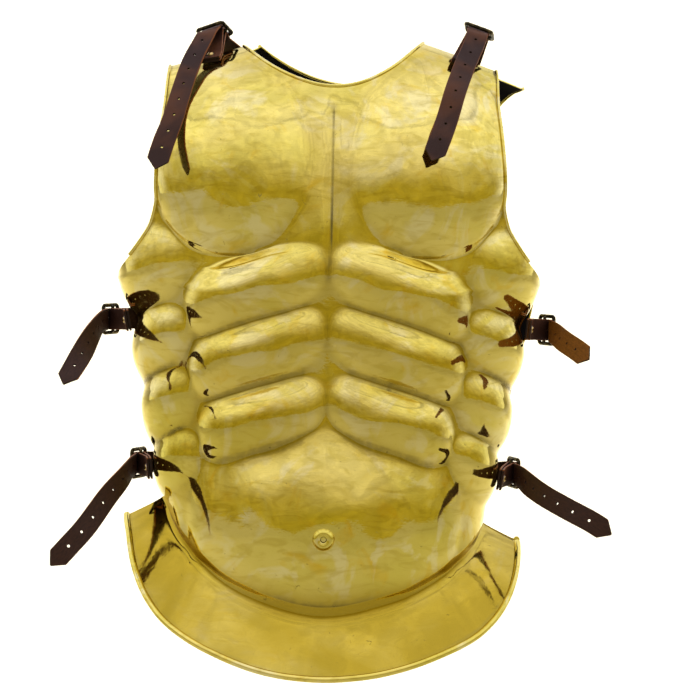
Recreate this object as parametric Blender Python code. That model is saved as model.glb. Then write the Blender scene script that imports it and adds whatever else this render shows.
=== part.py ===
"""Muscle cuirass: a brass breastplate and backplate joined by six buckled leather straps.

World frame: metres, +Z up, the front of the cuirass faces -Y and the wearer's left is +X.
The origin lies between the shoulders, level with the shoulder edges. The tables below are in
millimetres and degrees, as their column names say, and MM turns them into metres.
"""
import math

import bmesh
import bpy
import numpy as np
from mathutils import Vector

MM = 0.001
GAP = 0.3 * MM                 # clearance between neighbouring pieces

# ---- driving dimensions -------------------------------------------------------------------
SHEET = 1.2 * MM               # brass sheet
ROLL_RADIUS = 1.8 * MM         # wired edge at the neck and the arms
SKIRT_ROLL_RADIUS = 3.0 * MM   # wired edge of the skirt
SHOULDER_ROUND = 85 * MM       # height over which the chest curls back to the shoulder
SHOULDER_RISE = 3 * MM         # the shoulder's ridge lies this far above the plate's edge
FRONT_FLATNESS = 0.8           # power of the cosine across the section, 1 is an ellipse
SIDE_ANGLE = 88.0              # degrees from the front at which a plate ends
INNER_SPREAD = 55.0            # degrees over which the grid's columns would spread evenly
OUTER_SPREAD = 3               # power with which the outer columns fan out to the side edge
SKIRT_STOPS = (0.28, 0.64, 1.0)  # shares of the skirt's fall at which its rows lie
SKIRT_FLARE_POWER = 1.1        # power with which the flare grows below the first of them
FRONT_OFFSET = (0.0, 0.0)      # distance of a plate to the wearer's left, and how much more
BACK_OFFSET = (8 * MM, 11 * MM)  # of it there is at the shoulders
OFFSET_LENGTH = 400 * MM       # height over which that lean dies away
BACK_INSET = 7 * MM            # the backplate is narrower, so it lies behind the breastplate
WAIST_TILT = 10 * MM            # the waist is this much lower at the wearer's left edge

STRAP_WIDTH = 20 * MM
STRAP_THICKNESS = 2.0 * MM
WIRE_RADIUS = 1.8 * MM         # round bar of a buckle frame
FRAME_LENGTH = 25 * MM         # between the centre lines of front bar and roller bar
FRAME_WIDTH = 26 * MM          # between the centre lines of the side bars
CENTRE_BAR_DROP = 2.5 * MM     # the bar that holds the chape lies below the frame's plane
ROLLER_RADIUS = 3.0 * MM
ROLLER_LENGTH = 19 * MM
BILLET_RUN = 10 * MM           # straight stretch of the billet before the roller
BILLET_RISE = 0.2 * MM         # the billet's height halfway from the roller to the centre bar
BILLET_FALL = 1.6 * MM         # and halfway from there to the front bar
PRONG_RADIUS = 1.1 * MM
STRAP_PLAY = 0.5 * MM          # further room for the bent strap under a bar
SLOT_WIDTH = 4 * MM            # slot or hole in the leather for the prong
RIVET_RADIUS = 4 * MM
RIVET_HEIGHT = 2.2 * MM

# ---- forms of the two plates --------------------------------------------------------------
# Horizontal sections of the torso, without its muscles: half width and depth from the side.
# Columns: height_mm, half_width_mm, front_depth_mm, back_depth_mm
SECTIONS = (
    (15, 200, 74, 70),
    (-33, 200, 84, 84),
    (-70, 200, 97, 96),
    (-110, 200, 106, 104),
    (-150, 198, 110, 106),
    (-208, 193, 110, 102),
    (-249, 183, 108, 94),
    (-319, 172, 106, 82),
    (-369, 161, 108, 78),
    (-427, 151, 110, 80),
    (-470, 148, 110, 84),
    (-509, 146, 105, 86),
)

QUARTERS = (0.0, 0.25, 0.5, 0.75, 1.0)       # shares of the way to the side edge

# Rows of a plate's grid, as heights at those places.
# They run along the muscles' creases. "rows" is the number of grid rows from the line above.
# Columns: name, rows, centre_mm, quarter_mm, half_mm, three_quarter_mm, side_mm
FRONT_LINES = (
    ("pectoral crease", 8, -140, -180, -191, -176, -149),
    ("ribs", 4, -185, -190, -203, -200, -190),
    ("first crease", 4, -236, -244, -260, -250, -247),
    ("second crease", 4, -293, -303, -316, -312, -314),
    ("third crease", 4, -352, -360, -372, -366, -370),
    ("waist", 6, -509, -503, -489, -461, -422),
)
BACK_LINES = (
    ("arm pit", 9, -208, -208, -208, -208, -208),
    ("waist", 8, -440, -439, -436, -431, -422),
)

# The skirt below the waist, at the same five places.
# Columns: centre_mm, quarter_mm, half_mm, three_quarter_mm, side_mm
FRONT_SKIRT_DROP = (60, 62, 61, 57.5, 22)
BACK_SKIRT_DROP = (44, 43, 39, 32, 21)
SKIRT_FLARE = (36, 37, 40, 42, 30)

# Raised muscles. An angle is measured round the torso from the middle, a height from the
# origin, and a slope is the fall of the muscle's axis in mm for each degree outwards. "edge"
# is the power of the muscle's profile at its crease: the lower, the steeper it rises.
# Columns: name, angle_deg, height_mm, half_angle_deg, half_height_mm, slope, raised_mm,
#          squareness, edge
FRONT_MUSCLES = (
    ("first abdominal", 22.8, -222.8, 22.2, 33, -0.95, 17, 2.8, 0.85),
    ("second abdominal", 23.1, -279.5, 22.6, 33, -0.87, 17, 2.8, 0.85),
    ("third abdominal", 22.9, -340.5, 22.4, 31, -0.80, 16, 2.8, 0.85),
    ("belly", 0.0, -432, 58.0, 82, 0.00, 15, 2.2, 1.0),
    ("upper rib", 69.0, -205, 27.0, 40, -0.50, 10, 2.2, 1.0),
    ("second rib", 69.0, -273, 27.0, 31, -0.65, 11, 2.2, 1.0),
    ("third rib", 70.0, -334, 26.0, 31, -0.75, 10, 2.4, 0.85),
    ("flank", 70.0, -385, 26.0, 28, -0.60, 9, 2.4, 0.85),
)
BACK_MUSCLES = (
    ("shoulder blade", 30.0, -110, 28.0, 75, -0.60, 12, 2.2, 0.85),
    ("broad back", 45.0, -235, 60.0, 75, -0.40, 8, 2.2, 0.85),
    ("loin", 17.0, -365, 15.0, 85, 0.00, 9, 2.2, 0.85),
)
SOFT_TOP = 0.3                               # added to that power at a muscle's upper edge
CREASE_BLEND = 6.0                           # power that blends neighbouring muscles

# Pectoral: crisp below and to the side, soft above and towards the breastbone.
# Columns: angle_deg, height_mm, half_angle_deg, below_mm, above_mm, raised_mm
PECTORAL = (29.5, -108, 25.5, 83, 105, 19)
PECTORAL_EDGE = 0.70
PECTORAL_SOFTNESS = 1.5

# The neck leans: "lean" is its fall for each metre to the wearer's left. "scoop" is how
# much deeper the armhole is cut than the curve that the numbers below describe, and "slip"
# is how far the neck's lowest point lies to the wearer's left.
# Columns: neck_low_mm, neck_half_mm, neck_top_mm, shoulder_half_mm, shoulder_end_mm, lean,
#          scoop_mm, slip_mm
FRONT_TOP = (-34.5, 84.5, 12, 153, -10, -0.035, 0, 6)
BACK_TOP = (-17.5, 90, 10.5, 163, -23, 0.03, 34, 0)
NECK_CURVE = 2.0                             # power of the neck's curve
ARM_PIT = -208                               # mm, lowest point of the armhole
ARM_STRAIGHTNESS = 5.5                       # power of the armhole's lower curve
ARM_LEAN = 0.1                               # share of the armhole that leans evenly
SCOOP_PLACE = 0.6                            # the lower, the higher the scoop is deepest

FRONT_COLUMNS = (6, 9)                      # from the middle to the neck's corner, then out
BACK_COLUMNS = (4, 5)
FRONT_ARM_ROWS = 12                          # grid rows beside the armholes
BACK_ARM_ROWS = 9
ROLL_ANGLES = (75, 0, -75)                   # degrees round a rolled edge

NAVEL_HEIGHT = -447                          # mm
NAVEL_RADIUS = 6.8 * MM
NAVEL_WIRE = 2.3 * MM

# ---- the six straps -----------------------------------------------------------------------
# A strap runs from the backplate over the gap between the plates to the breastplate. "along"
# points from back to front through the buckle and "up" points away from the body.
# Columns: name, buckle centre_mm, along, up, front rivet (angle_deg, height_mm),
#          back rivet (angle_deg, height_mm), tail stations of x_mm, y_mm, z_mm,
#          and the direction of the strap's width at each of them
STRAPS = (
    ("shoulder_left", (138, -3, 29), (-0.10, -0.97, 0.16), (0.36, 0.14, 0.92),
     (36.7, -7), (34.0, -13),
     ((135, -26, 24), (131, -38, 11), (122, -61, -11), (113, -88, -37), (106, -104, -62),
      (99, -120, -83), (91, -133, -104)),
     ((0.95, -0.15, -0.27), (0.95, -0.12, -0.28), (0.93, -0.15, -0.33), (0.93, -0.15, -0.33),
      (0.94, -0.12, -0.31), (0.94, -0.08, -0.33), (0.93, 0.0, -0.36))),
    ("shoulder_right", (-113, -4, 24), (-0.35, -0.88, 0.30), (-0.20, 0.30, 0.92),
     (-34.5, -7), (-31.0, -6),
     ((-119, -23, 21), (-123, -30, 12), (-131, -45, -8), (-138, -67, -35), (-145, -90, -67),
      (-152, -105, -90), (-158, -120, -115)),
     ((0.92, -0.36, 0.10), (0.86, -0.48, -0.15), (0.78, -0.52, -0.35), (0.80, -0.50, -0.33),
      (0.90, -0.30, -0.31), (0.95, -0.10, -0.30), (0.96, 0.0, -0.28))),
    ("upper_side_left", (207, -2, -253), (0.45, -0.89, -0.05), (0.89, 0.45, 0.0),
     (80.0, -252), (80.0, -252),
     ((213, -30, -257), (219, -60, -264), (229, -86, -272), (238, -104, -280)),
     ((0.30, 0.10, 0.95), (0.42, 0.10, 0.90), (0.48, 0.05, 0.87), (0.52, 0.0, 0.85))),
    ("upper_side_right", (-207, -2, -250), (-0.45, -0.89, -0.05), (-0.89, 0.45, 0.0),
     (-80.0, -249), (-77.0, -247),
     ((-213, -34, -254), (-218, -68, -267), (-226, -100, -288), (-237, -122, -311)),
     ((-0.10, -0.10, 0.98), (-0.40, 0.05, 0.90), (-0.62, 0.40, 0.66), (-0.62, 0.60, 0.50))),
    ("lower_side_left", (178, -1, -389), (0.32, -0.95, -0.05), (0.95, 0.32, 0.0),
     (79.0, -391), (80.0, -391),
     ((183, -32, -392), (191, -58, -399), (203, -80, -407), (222, -100, -417),
      (242, -112, -427), (260, -118, -438)),
     ((0.15, 0.05, 0.98), (0.40, 0.05, 0.90), (0.48, 0.0, 0.87), (0.49, 0.0, 0.87),
      (0.49, 0.0, 0.87), (0.49, 0.0, 0.87))),
    ("lower_side_right", (-178, -1, -386), (-0.42, -0.90, -0.05), (-0.90, 0.42, 0.0),
     (-79.0, -387), (-78.0, -386),
     ((-182, -33, -389), (-187, -62, -398), (-199, -84, -414), (-216, -104, -440),
      (-231, -114, -458), (-246, -120, -475)),
     ((-0.05, -0.10, 0.99), (-0.30, -0.30, 0.90), (-0.60, -0.30, 0.72), (-0.74, -0.10, 0.66),
      (-0.74, 0.0, 0.67), (-0.73, 0.0, 0.68))),
)
TAIL_RINGS = 2                 # rings of a tail between two stations
SEAT_GAP = 1.0 * MM            # clearance of a flat strap end over the plate's highest point
SEAT_REACH = 13 * MM           # half size of the patch of plate under a strap end
SEAT_BEYOND = 8 * MM           # how far a strap end reaches past its rivet
SEAT_BEFORE = 6 * MM           # and how far it lies flat before it lifts off
WRAP_ANGLES = (-90, -135, 180, 135, 90)      # degrees from the chape's run, round the bar
HOOK_ANGLES = (-70, 0, 60, 110)              # degrees round the centre bar, for the prong
CHAPE_SHARES = (0.5,)          # places of the rings between its seat and the bar
LAYER_GAP = 0.8 * MM           # between the two layers of a chape
PRONG_REACH = 3 * MM           # how far the prong's tip passes the roller
SLOT_REACH = (-9 * MM, 4.8 * MM)             # the prong's slot, along the buckle
SLOT_DEPTH = 12 * MM           # half height of the slot's cutter
FRAME_CORNER = 3 * MM          # chamfer of the frame's corners
TIP_LENGTH = 8 * MM
TIP_SHARE = 0.3                # width left at the very end of a tail

# ---- colours: base colour, roughness, metallic ---------------------------------------------
BRASS = ((0.78, 0.62, 0.25, 1.0), 0.22, 1.0)
LEATHER = ((0.085, 0.045, 0.035, 1.0), 0.55, 0.0)
BRONZE = ((0.10, 0.09, 0.06, 1.0), 0.45, 1.0)
STEEL = ((0.55, 0.53, 0.50, 1.0), 0.35, 1.0)
RIVET_BRASS = ((0.66, 0.48, 0.20, 1.0), 0.35, 1.0)


# ---- small helpers --------------------------------------------------------------------------
def clear_scene():
    """Remove whatever objects the file starts with."""
    for item in list(bpy.data.objects):
        bpy.data.objects.remove(item, do_unlink=True)


def smooth_curve(xs, ys, where):
    """Read a smooth curve through the points (xs, ys) at the places in where."""
    xs = np.asarray(xs, float)
    ys = np.asarray(ys, float)
    slopes = np.gradient(ys, xs)
    where = np.clip(where, xs[0], xs[-1])
    cell = np.clip(np.searchsorted(xs, where) - 1, 0, len(xs) - 2)
    width = xs[cell + 1] - xs[cell]
    f = (where - xs[cell]) / width
    return ((1 + 2 * f) * (1 - f) ** 2 * ys[cell] + f * (1 - f) ** 2 * width * slopes[cell]
            + f * f * (3 - 2 * f) * ys[cell + 1] + f * f * (f - 1) * width * slopes[cell + 1])


def even_curve(values, share):
    """Read values at quarters of the way with no kink in the middle, in metres."""
    return MM * smooth_curve([q * q for q in QUARTERS], values, share ** 2)


def section(height, column):
    """Half width (column 1) or depth (2 front, 3 back) of the torso at a height, in metres."""
    rows = SECTIONS[::-1]
    return MM * smooth_curve([r[0] for r in rows], [r[column] for r in rows], height / MM)


def make_object(name, mesh, colour):
    """Link a mesh as a named object with its own Principled material."""
    material = bpy.data.materials.new(name)
    material.use_nodes = True
    shader = material.node_tree.nodes["Principled BSDF"]
    shader.inputs["Base Color"].default_value = colour[0]
    shader.inputs["Roughness"].default_value = colour[1]
    shader.inputs["Metallic"].default_value = colour[2]
    mesh.materials.append(material)
    mesh.shade_smooth()
    mesh.set_sharp_from_angle(angle=math.radians(40))
    item = bpy.data.objects.new(name, mesh)
    bpy.context.scene.collection.objects.link(item)
    return item


def mesh_from(name, points, faces):
    """Mesh of the points and faces, with its faces turned outwards."""
    shape = bmesh.new()
    verts = [shape.verts.new(p) for p in points]
    for face in faces:
        shape.faces.new([verts[i] for i in face])
    bmesh.ops.recalc_face_normals(shape, faces=shape.faces)
    if shape.calc_volume(signed=True) < 0:
        bmesh.ops.reverse_faces(shape, faces=shape.faces)
    mesh = bpy.data.meshes.new(name)
    shape.to_mesh(mesh)
    shape.free()
    return mesh


def skin(name, rings, closed=False):
    """Skin a list of rings of equal length, as a loop or with both ends capped."""
    count = len(rings)
    size = len(rings[0])
    faces = []
    for i in range(count if closed else count - 1):
        a = i * size
        b = ((i + 1) % count) * size
        faces += [(a + k, a + (k + 1) % size, b + (k + 1) % size, b + k) for k in range(size)]
    if not closed:
        faces += [tuple(range(size)), tuple(range((count - 1) * size, count * size))]
    return mesh_from(name, [p for ring in rings for p in ring], faces)


def cut(item, cutter_mesh):
    """Cut a solid with another and throw the cutter away."""
    cutter = bpy.data.objects.new("cutter", cutter_mesh)
    bpy.context.scene.collection.objects.link(cutter)
    apply_boolean(item, cutter, "DIFFERENCE")


def apply_boolean(item, tool, operation):
    """Apply one exact Boolean to an object and remove its tool."""
    modifier = item.modifiers.new("boolean", "BOOLEAN")
    modifier.operation = operation
    modifier.solver = "EXACT"
    modifier.object = tool
    bpy.context.view_layer.update()
    evaluated = item.evaluated_get(bpy.context.evaluated_depsgraph_get())
    mesh = bpy.data.meshes.new_from_object(evaluated)
    item.modifiers.clear()
    item.data = mesh
    bpy.data.objects.remove(tool, do_unlink=True)


# ---- the plates -----------------------------------------------------------------------------
def spread(share, edge_angle):
    """Angle in degrees at a signed share of the way to the side edge."""
    return INNER_SPREAD * share + (edge_angle - INNER_SPREAD) * share ** OUTER_SPREAD


class Plate:
    """One brass plate: a grid over the torso, raised muscles, and a rolled rim.

    side is -1 for the breastplate and +1 for the backplate.
    """

    def __init__(self, side, top, lines, skirt_drop, muscles, columns, arm_rows, offset):
        self.side = side
        self.top = [value * MM for value in top[:5]]
        self.lean = top[5]
        self.scoop = top[6] * MM
        self.slip = top[7] * MM
        self.lines = lines
        self.skirt_drop = skirt_drop
        self.muscles = muscles
        self.columns = columns
        self.arm_rows = arm_rows
        self.shift, self.sway = offset
        self.depth_column = 2 if side < 0 else 3
        self.inset = 0.0 if side < 0 else BACK_INSET

    def half_width(self, height):
        """Half width of the plate's torso at a height."""
        return section(height, 1) - self.inset

    def depth(self, height):
        """Depth of the plate's torso at a height, in the middle."""
        return section(height, self.depth_column)

    def edge_half_width(self, height):
        """Half width of the plate at its side edge: the armhole, then the full section."""
        shoulder_half, shoulder_end = self.top[3], self.top[4]
        reach = np.clip((height - shoulder_end) / (ARM_PIT * MM - shoulder_end), 0, 1)
        curve = ARM_LEAN * reach + (1 - ARM_LEAN) * reach ** ARM_STRAIGHTNESS
        arm_pit_half = self.half_width(np.array(ARM_PIT * MM))
        scoop = self.scoop * np.sin(math.pi * reach ** SCOOP_PLACE)
        return shoulder_half + (arm_pit_half - shoulder_half) * curve - scoop

    def offset(self, height):
        """How far the plate lies to the wearer's left at a height: its top leans a little."""
        return self.shift + self.sway * np.clip(1 + height / OFFSET_LENGTH, 0, 1) ** 2

    def side_angle(self, height):
        """Angle round the torso, in degrees, at which the plate's side edge lies."""
        ratio = np.clip(self.edge_half_width(height) / self.half_width(height), 0, 1)
        angle = np.degrees(np.arcsin(ratio))
        return np.where(height <= ARM_PIT * MM, SIDE_ANGLE, np.minimum(angle, SIDE_ANGLE))

    def top_height(self, x):
        """Height of the plate's top edge: the neck's curve, then the straight shoulder."""
        low, half, peak, _, _ = self.top
        share = np.clip(np.abs(x) / half, 0, 1)
        reach = np.abs(x - self.slip * (1 - share)) / half
        neck = low + (peak - low) * reach ** NECK_CURVE - self.lean * x
        return np.where(share < 1, neck, self.shoulder_line(x))

    def shoulder_line(self, x):
        """Height of the straight line along the shoulder's edge."""
        _, half, peak, shoulder_half, shoulder_end = self.top
        share = (np.abs(x) - half) / (shoulder_half - half)
        lean = self.lean * x * np.clip(1 - share, 0, 1)
        return peak + (shoulder_end - peak) * share - lean

    def torso(self, angle, height):
        """Point of the bare torso at an angle in degrees and a height."""
        turn = np.radians(angle)
        x = self.half_width(height) * np.sin(turn)
        below = self.shoulder_line(x) + SHOULDER_RISE - height
        share = 1 - np.clip(below / SHOULDER_ROUND, 0, 1)
        curl = np.sqrt(1 - share ** 2)
        y = self.side * self.depth(height) * np.cos(turn) ** FRONT_FLATNESS
        return np.stack([x, y * curl, height], axis=-1)

    def relief(self, angle, height):
        """How far the muscles stand out from the torso."""
        total = np.zeros_like(height)
        turn = np.abs(angle)
        for _, a0, z0, half_a, half_z, slope, raised, square, edge in self.muscles:
            a = (turn - a0) / half_a
            z = (height / MM - z0 - slope * (turn - a0)) / half_z
            reach = np.clip(np.abs(a) ** square + np.abs(z) ** square, 0, 1) ** (2 / square)
            power = edge + SOFT_TOP * np.clip(z, 0, 1)
            total += (raised * (1 - reach) ** power) ** CREASE_BLEND
        if self.side < 0:
            total += self.pectoral(turn, height) ** CREASE_BLEND
        return MM * total ** (1 / CREASE_BLEND)

    def pectoral(self, turn, height):
        """Height of the pectoral in millimetres."""
        a0, z0, half_a, below, above, raised = PECTORAL
        drop = height / MM - z0
        z = drop / np.where(drop < 0, below, above)
        a = (turn - a0) / half_a
        reach = np.clip(a ** 2 + z ** 2, 0, 1)
        soft = np.maximum(np.clip(z, 0, 1), np.clip(-a, 0, 1) ** 2)
        power = PECTORAL_EDGE + (PECTORAL_SOFTNESS - PECTORAL_EDGE) * soft
        return raised * (1 - reach) ** power

    def outer_points(self):
        """Grid of points on the outer face, as rows from top to bottom and columns across."""
        across = self.column_stops()
        share = np.abs(across)
        heights = [self.top_line(across)]
        for line in self.lines:
            start = heights[-1]
            end = MM * smooth_curve(QUARTERS, line[2:], share)
            if line is self.lines[-1]:
                end = even_curve(line[2:], share) - WAIST_TILT * across ** 3
            heights += [start + (end - start) * (k + 1) / line[1] for k in range(line[1])]
        heights = np.array(heights)
        edge_angle = self.side_angle(heights[:, -1])[:, None]
        angles = spread(across[None, :], edge_angle)
        body = self.torso(angles, heights)
        body += normals_of(body, self.side) * self.relief(angles, heights)[..., None]
        return np.concatenate([body, self.skirt(body[-1], share)])

    def column_stops(self):
        """Signed shares of the way to the side edge, with a column at the neck's corner."""
        _, half, peak, _, shoulder_end = self.top
        corner_angle = math.degrees(math.asin(half / self.half_width(np.array(peak))))
        shares = np.linspace(0, 1, 200)
        angles = spread(shares, float(self.side_angle(np.array(shoulder_end))))
        corner = float(np.interp(corner_angle, angles, shares))
        inner = np.linspace(0, corner, self.columns[0] + 1)
        outer = np.linspace(corner, 1, self.columns[1] + 1)[1:]
        half_stops = np.concatenate([inner, outer])
        return np.concatenate([-half_stops[:0:-1], half_stops])

    def top_line(self, across):
        """Heights of the top edge at the columns, found by a few rounds of substitution."""
        shoulder_end = self.top[4]
        edge = float(self.side_angle(np.array(shoulder_end)))
        height = np.zeros_like(across)
        for _ in range(6):
            x = self.half_width(height) * np.sin(np.radians(spread(across, edge)))
            height = self.top_height(x)
        return height

    def skirt(self, waist, share):
        """Rows of the skirt: a short upright neck, then the flare to its lower edge."""
        drop = even_curve(self.skirt_drop, share)
        flare = even_curve(SKIRT_FLARE, share)[:, None]
        out = waist * (1, 1, 0)
        out[:, 0] *= self.depth(waist[:, 2]) ** 2
        out[:, 1] *= self.half_width(waist[:, 2]) ** 2
        out /= np.linalg.norm(out, axis=1)[:, None]
        rows = []
        for fall in SKIRT_STOPS:
            below = (fall - SKIRT_STOPS[0]) / (1 - SKIRT_STOPS[0])
            reach = flare * below ** SKIRT_FLARE_POWER
            rows.append(waist + out * reach - np.outer(drop * fall, (0, 0, 1)))
        return np.array(rows)

    def roll_radius(self, rows, columns):
        """Radius of the rim at each point of the outline, thin where the edge is plain."""
        plain = 0.5 * SHEET
        corner = self.columns[1]
        last = columns - 1
        low = self.arm_rows
        radii = []
        for row, column in outline(rows, columns):
            if row == rows - 1:
                radii.append(SKIRT_ROLL_RADIUS)
            elif row == 0:
                radii.append(ROLL_RADIUS if corner < column < last - corner else plain)
            elif row < low:
                radii.append(ROLL_RADIUS)
            else:
                radii.append(plain)
        return radii

    def build(self, name):
        """Build the plate as one closed solid."""
        outer = self.outer_points()
        outer[..., 0] += self.offset(outer[..., 2])
        normals = normals_of(outer, self.side)
        inner = outer - normals * SHEET
        rows, columns = outer.shape[:2]
        points = [tuple(p) for p in outer.reshape(-1, 3)] + [tuple(p) for p in inner.reshape(-1, 3)]
        offset = rows * columns
        faces = []
        for r in range(rows - 1):
            for c in range(columns - 1):
                a = r * columns + c
                quad = (a, a + 1, a + columns + 1, a + columns)
                for face in split(quad, points):
                    faces.append(face)
                    faces.append(tuple(offset + i for i in face))
        rim = outline(rows, columns)
        rings = rim_rings(outer, normals, rim, self.roll_radius(rows, columns))
        loops = [[r * columns + c for r, c in rim]]
        for ring in rings:
            loops.append(list(range(len(points), len(points) + len(ring))))
            points += ring
        loops.append([offset + r * columns + c for r, c in rim])
        for upper, lower in zip(loops, loops[1:]):
            size = len(upper)
            for k in range(size):
                n = (k + 1) % size
                faces.append((upper[k], upper[n], lower[n], lower[k]))
        return make_object(name, mesh_from(name, points, faces), BRASS)

    def seat(self, angle, height):
        """Point that clears the outer face under a flat strap end, and the face's normal."""
        reach = np.linspace(-SEAT_REACH, SEAT_REACH, 5)
        swing = np.degrees(reach / self.half_width(np.array(height)))
        angles, heights = np.meshgrid(np.clip(angle + swing, -SIDE_ANGLE, SIDE_ANGLE),
                                      height - reach)
        body = self.torso(angles, heights)
        body = body + normals_of(body, self.side) * self.relief(angles, heights)[..., None]
        normal = np.cross(body[-1, -1] - body[0, 0], body[0, -1] - body[-1, 0])
        normal *= np.sign(normal.dot(body[2, 2] * (1, 1, 0))) / np.linalg.norm(normal)
        proud = ((body - body[2, 2]) @ normal).max()
        point = body[2, 2] + normal * proud + (self.offset(height), 0, 0)
        return Vector(point), Vector(normal)


def normals_of(grid, side):
    """Outward unit normals of a grid of points on the front (-1) or back (+1) of the torso."""
    down = np.gradient(grid, axis=0)
    across = np.gradient(grid, axis=1)
    normal = np.cross(across, down) * -side
    length = np.linalg.norm(normal, axis=-1, keepdims=True)
    return -normal / np.maximum(length, 1e-12)


def split(quad, points):
    """Two triangles that share the shorter diagonal of a quad."""
    a, b, c, d = quad
    if math.dist(points[a], points[c]) <= math.dist(points[b], points[d]):
        return (a, b, c), (a, c, d)
    return (a, b, d), (b, c, d)


def outline(rows, columns):
    """Grid places round the plate's outline, in order: top, left side, bottom, right side."""
    top = [(0, c) for c in range(columns)]
    right = [(r, columns - 1) for r in range(1, rows)]
    bottom = [(rows - 1, c) for c in range(columns - 2, -1, -1)]
    left = [(r, 0) for r in range(rows - 2, 0, -1)]
    return top + right + bottom + left


def rim_rings(outer, normals, rim, radii):
    """Loops of points round the plate's edge, each a step round the wired roll."""
    middle = outer - normals * 0.5 * SHEET
    edge = np.array([middle[r, c] for r, c in rim])
    normal = np.array([normals[r, c] for r, c in rim])
    tangent = np.roll(edge, -1, axis=0) - np.roll(edge, 1, axis=0)
    outward = np.cross(tangent, normal)
    outward /= np.linalg.norm(outward, axis=1)[:, None]
    inside = np.array([outer[min(max(r, 1), outer.shape[0] - 2),
                             min(max(c, 1), outer.shape[1] - 2)] for r, c in rim])
    wrong = np.einsum("ij,ij->i", outward, edge - inside) < 0
    outward[wrong] *= -1
    radii = np.array(radii)[:, None]
    centre = edge + outward * radii * 0.6 + normal * np.maximum(radii - SHEET, 0) * 0.6
    rings = []
    for angle in ROLL_ANGLES:
        turn = math.radians(angle)
        ring = centre + radii * (outward * math.cos(turn) + normal * math.sin(turn))
        rings.append([tuple(p) for p in ring])
    return rings


# ---- straps, buckles and rivets ---------------------------------------------------------------
def spline(stations, steps):
    """Points of a Catmull-Rom curve through the stations, the stations among them."""
    ends = [2 * stations[0] - stations[1]] + stations + [2 * stations[-1] - stations[-2]]
    points = []
    for i in range(1, len(ends) - 2):
        p0, p1, p2, p3 = ends[i - 1:i + 3]
        for k in range(steps):
            f = k / steps
            points.append(0.5 * (2 * p1 + (p2 - p0) * f + (2 * p0 - 5 * p1 + 4 * p2 - p3) * f * f
                                 + (3 * p1 - p0 - 3 * p2 + p3) * f ** 3))
    points.append(ends[-2])
    return points


def tangents(points):
    """Unit directions along an open run of points."""
    last = len(points) - 1
    return [(points[min(i + 1, last)] - points[max(i - 1, 0)]).normalized()
            for i in range(last + 1)]


def ribbon_rings(points, widths, shares, thickness):
    """Rectangular rings of a leather strap, one at each point of its middle line."""
    rings = []
    for point, run, width, share in zip(points, tangents(points), widths, shares):
        side = (width - run * width.dot(run)).normalized()
        face = run.cross(side)
        across = side * (0.5 * STRAP_WIDTH * share)
        half = face * (0.5 * thickness)
        rings.append([point - across - half, point + across - half,
                      point + across + half, point - across + half])
    return rings


def tube_rings(points, radius, sides, closed=False):
    """Round rings of a bar that is bent along the points."""
    count = len(points)
    rings = []
    reference = Vector((0.31, 0.52, 0.79))
    for i, point in enumerate(points):
        before = points[(i - 1) % count] if closed else points[max(i - 1, 0)]
        after = points[(i + 1) % count] if closed else points[min(i + 1, count - 1)]
        run = (after - before).normalized()
        side = (reference - run * reference.dot(run)).normalized()
        up = run.cross(side)
        reference = side
        rings.append([point + radius * (side * math.cos(2 * math.pi * k / sides)
                                        + up * math.sin(2 * math.pi * k / sides))
                      for k in range(sides)])
    return rings


def turned_rings(centre, axis, profile, sides):
    """Rings of a solid turned about an axis, from (distance along it, radius) pairs."""
    axis = axis.normalized()
    side = axis.orthogonal().normalized()
    up = axis.cross(side)
    return [[centre + axis * run + radius * (side * math.cos(2 * math.pi * k / sides)
                                             + up * math.sin(2 * math.pi * k / sides))
             for k in range(sides)] for run, radius in profile]


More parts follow.
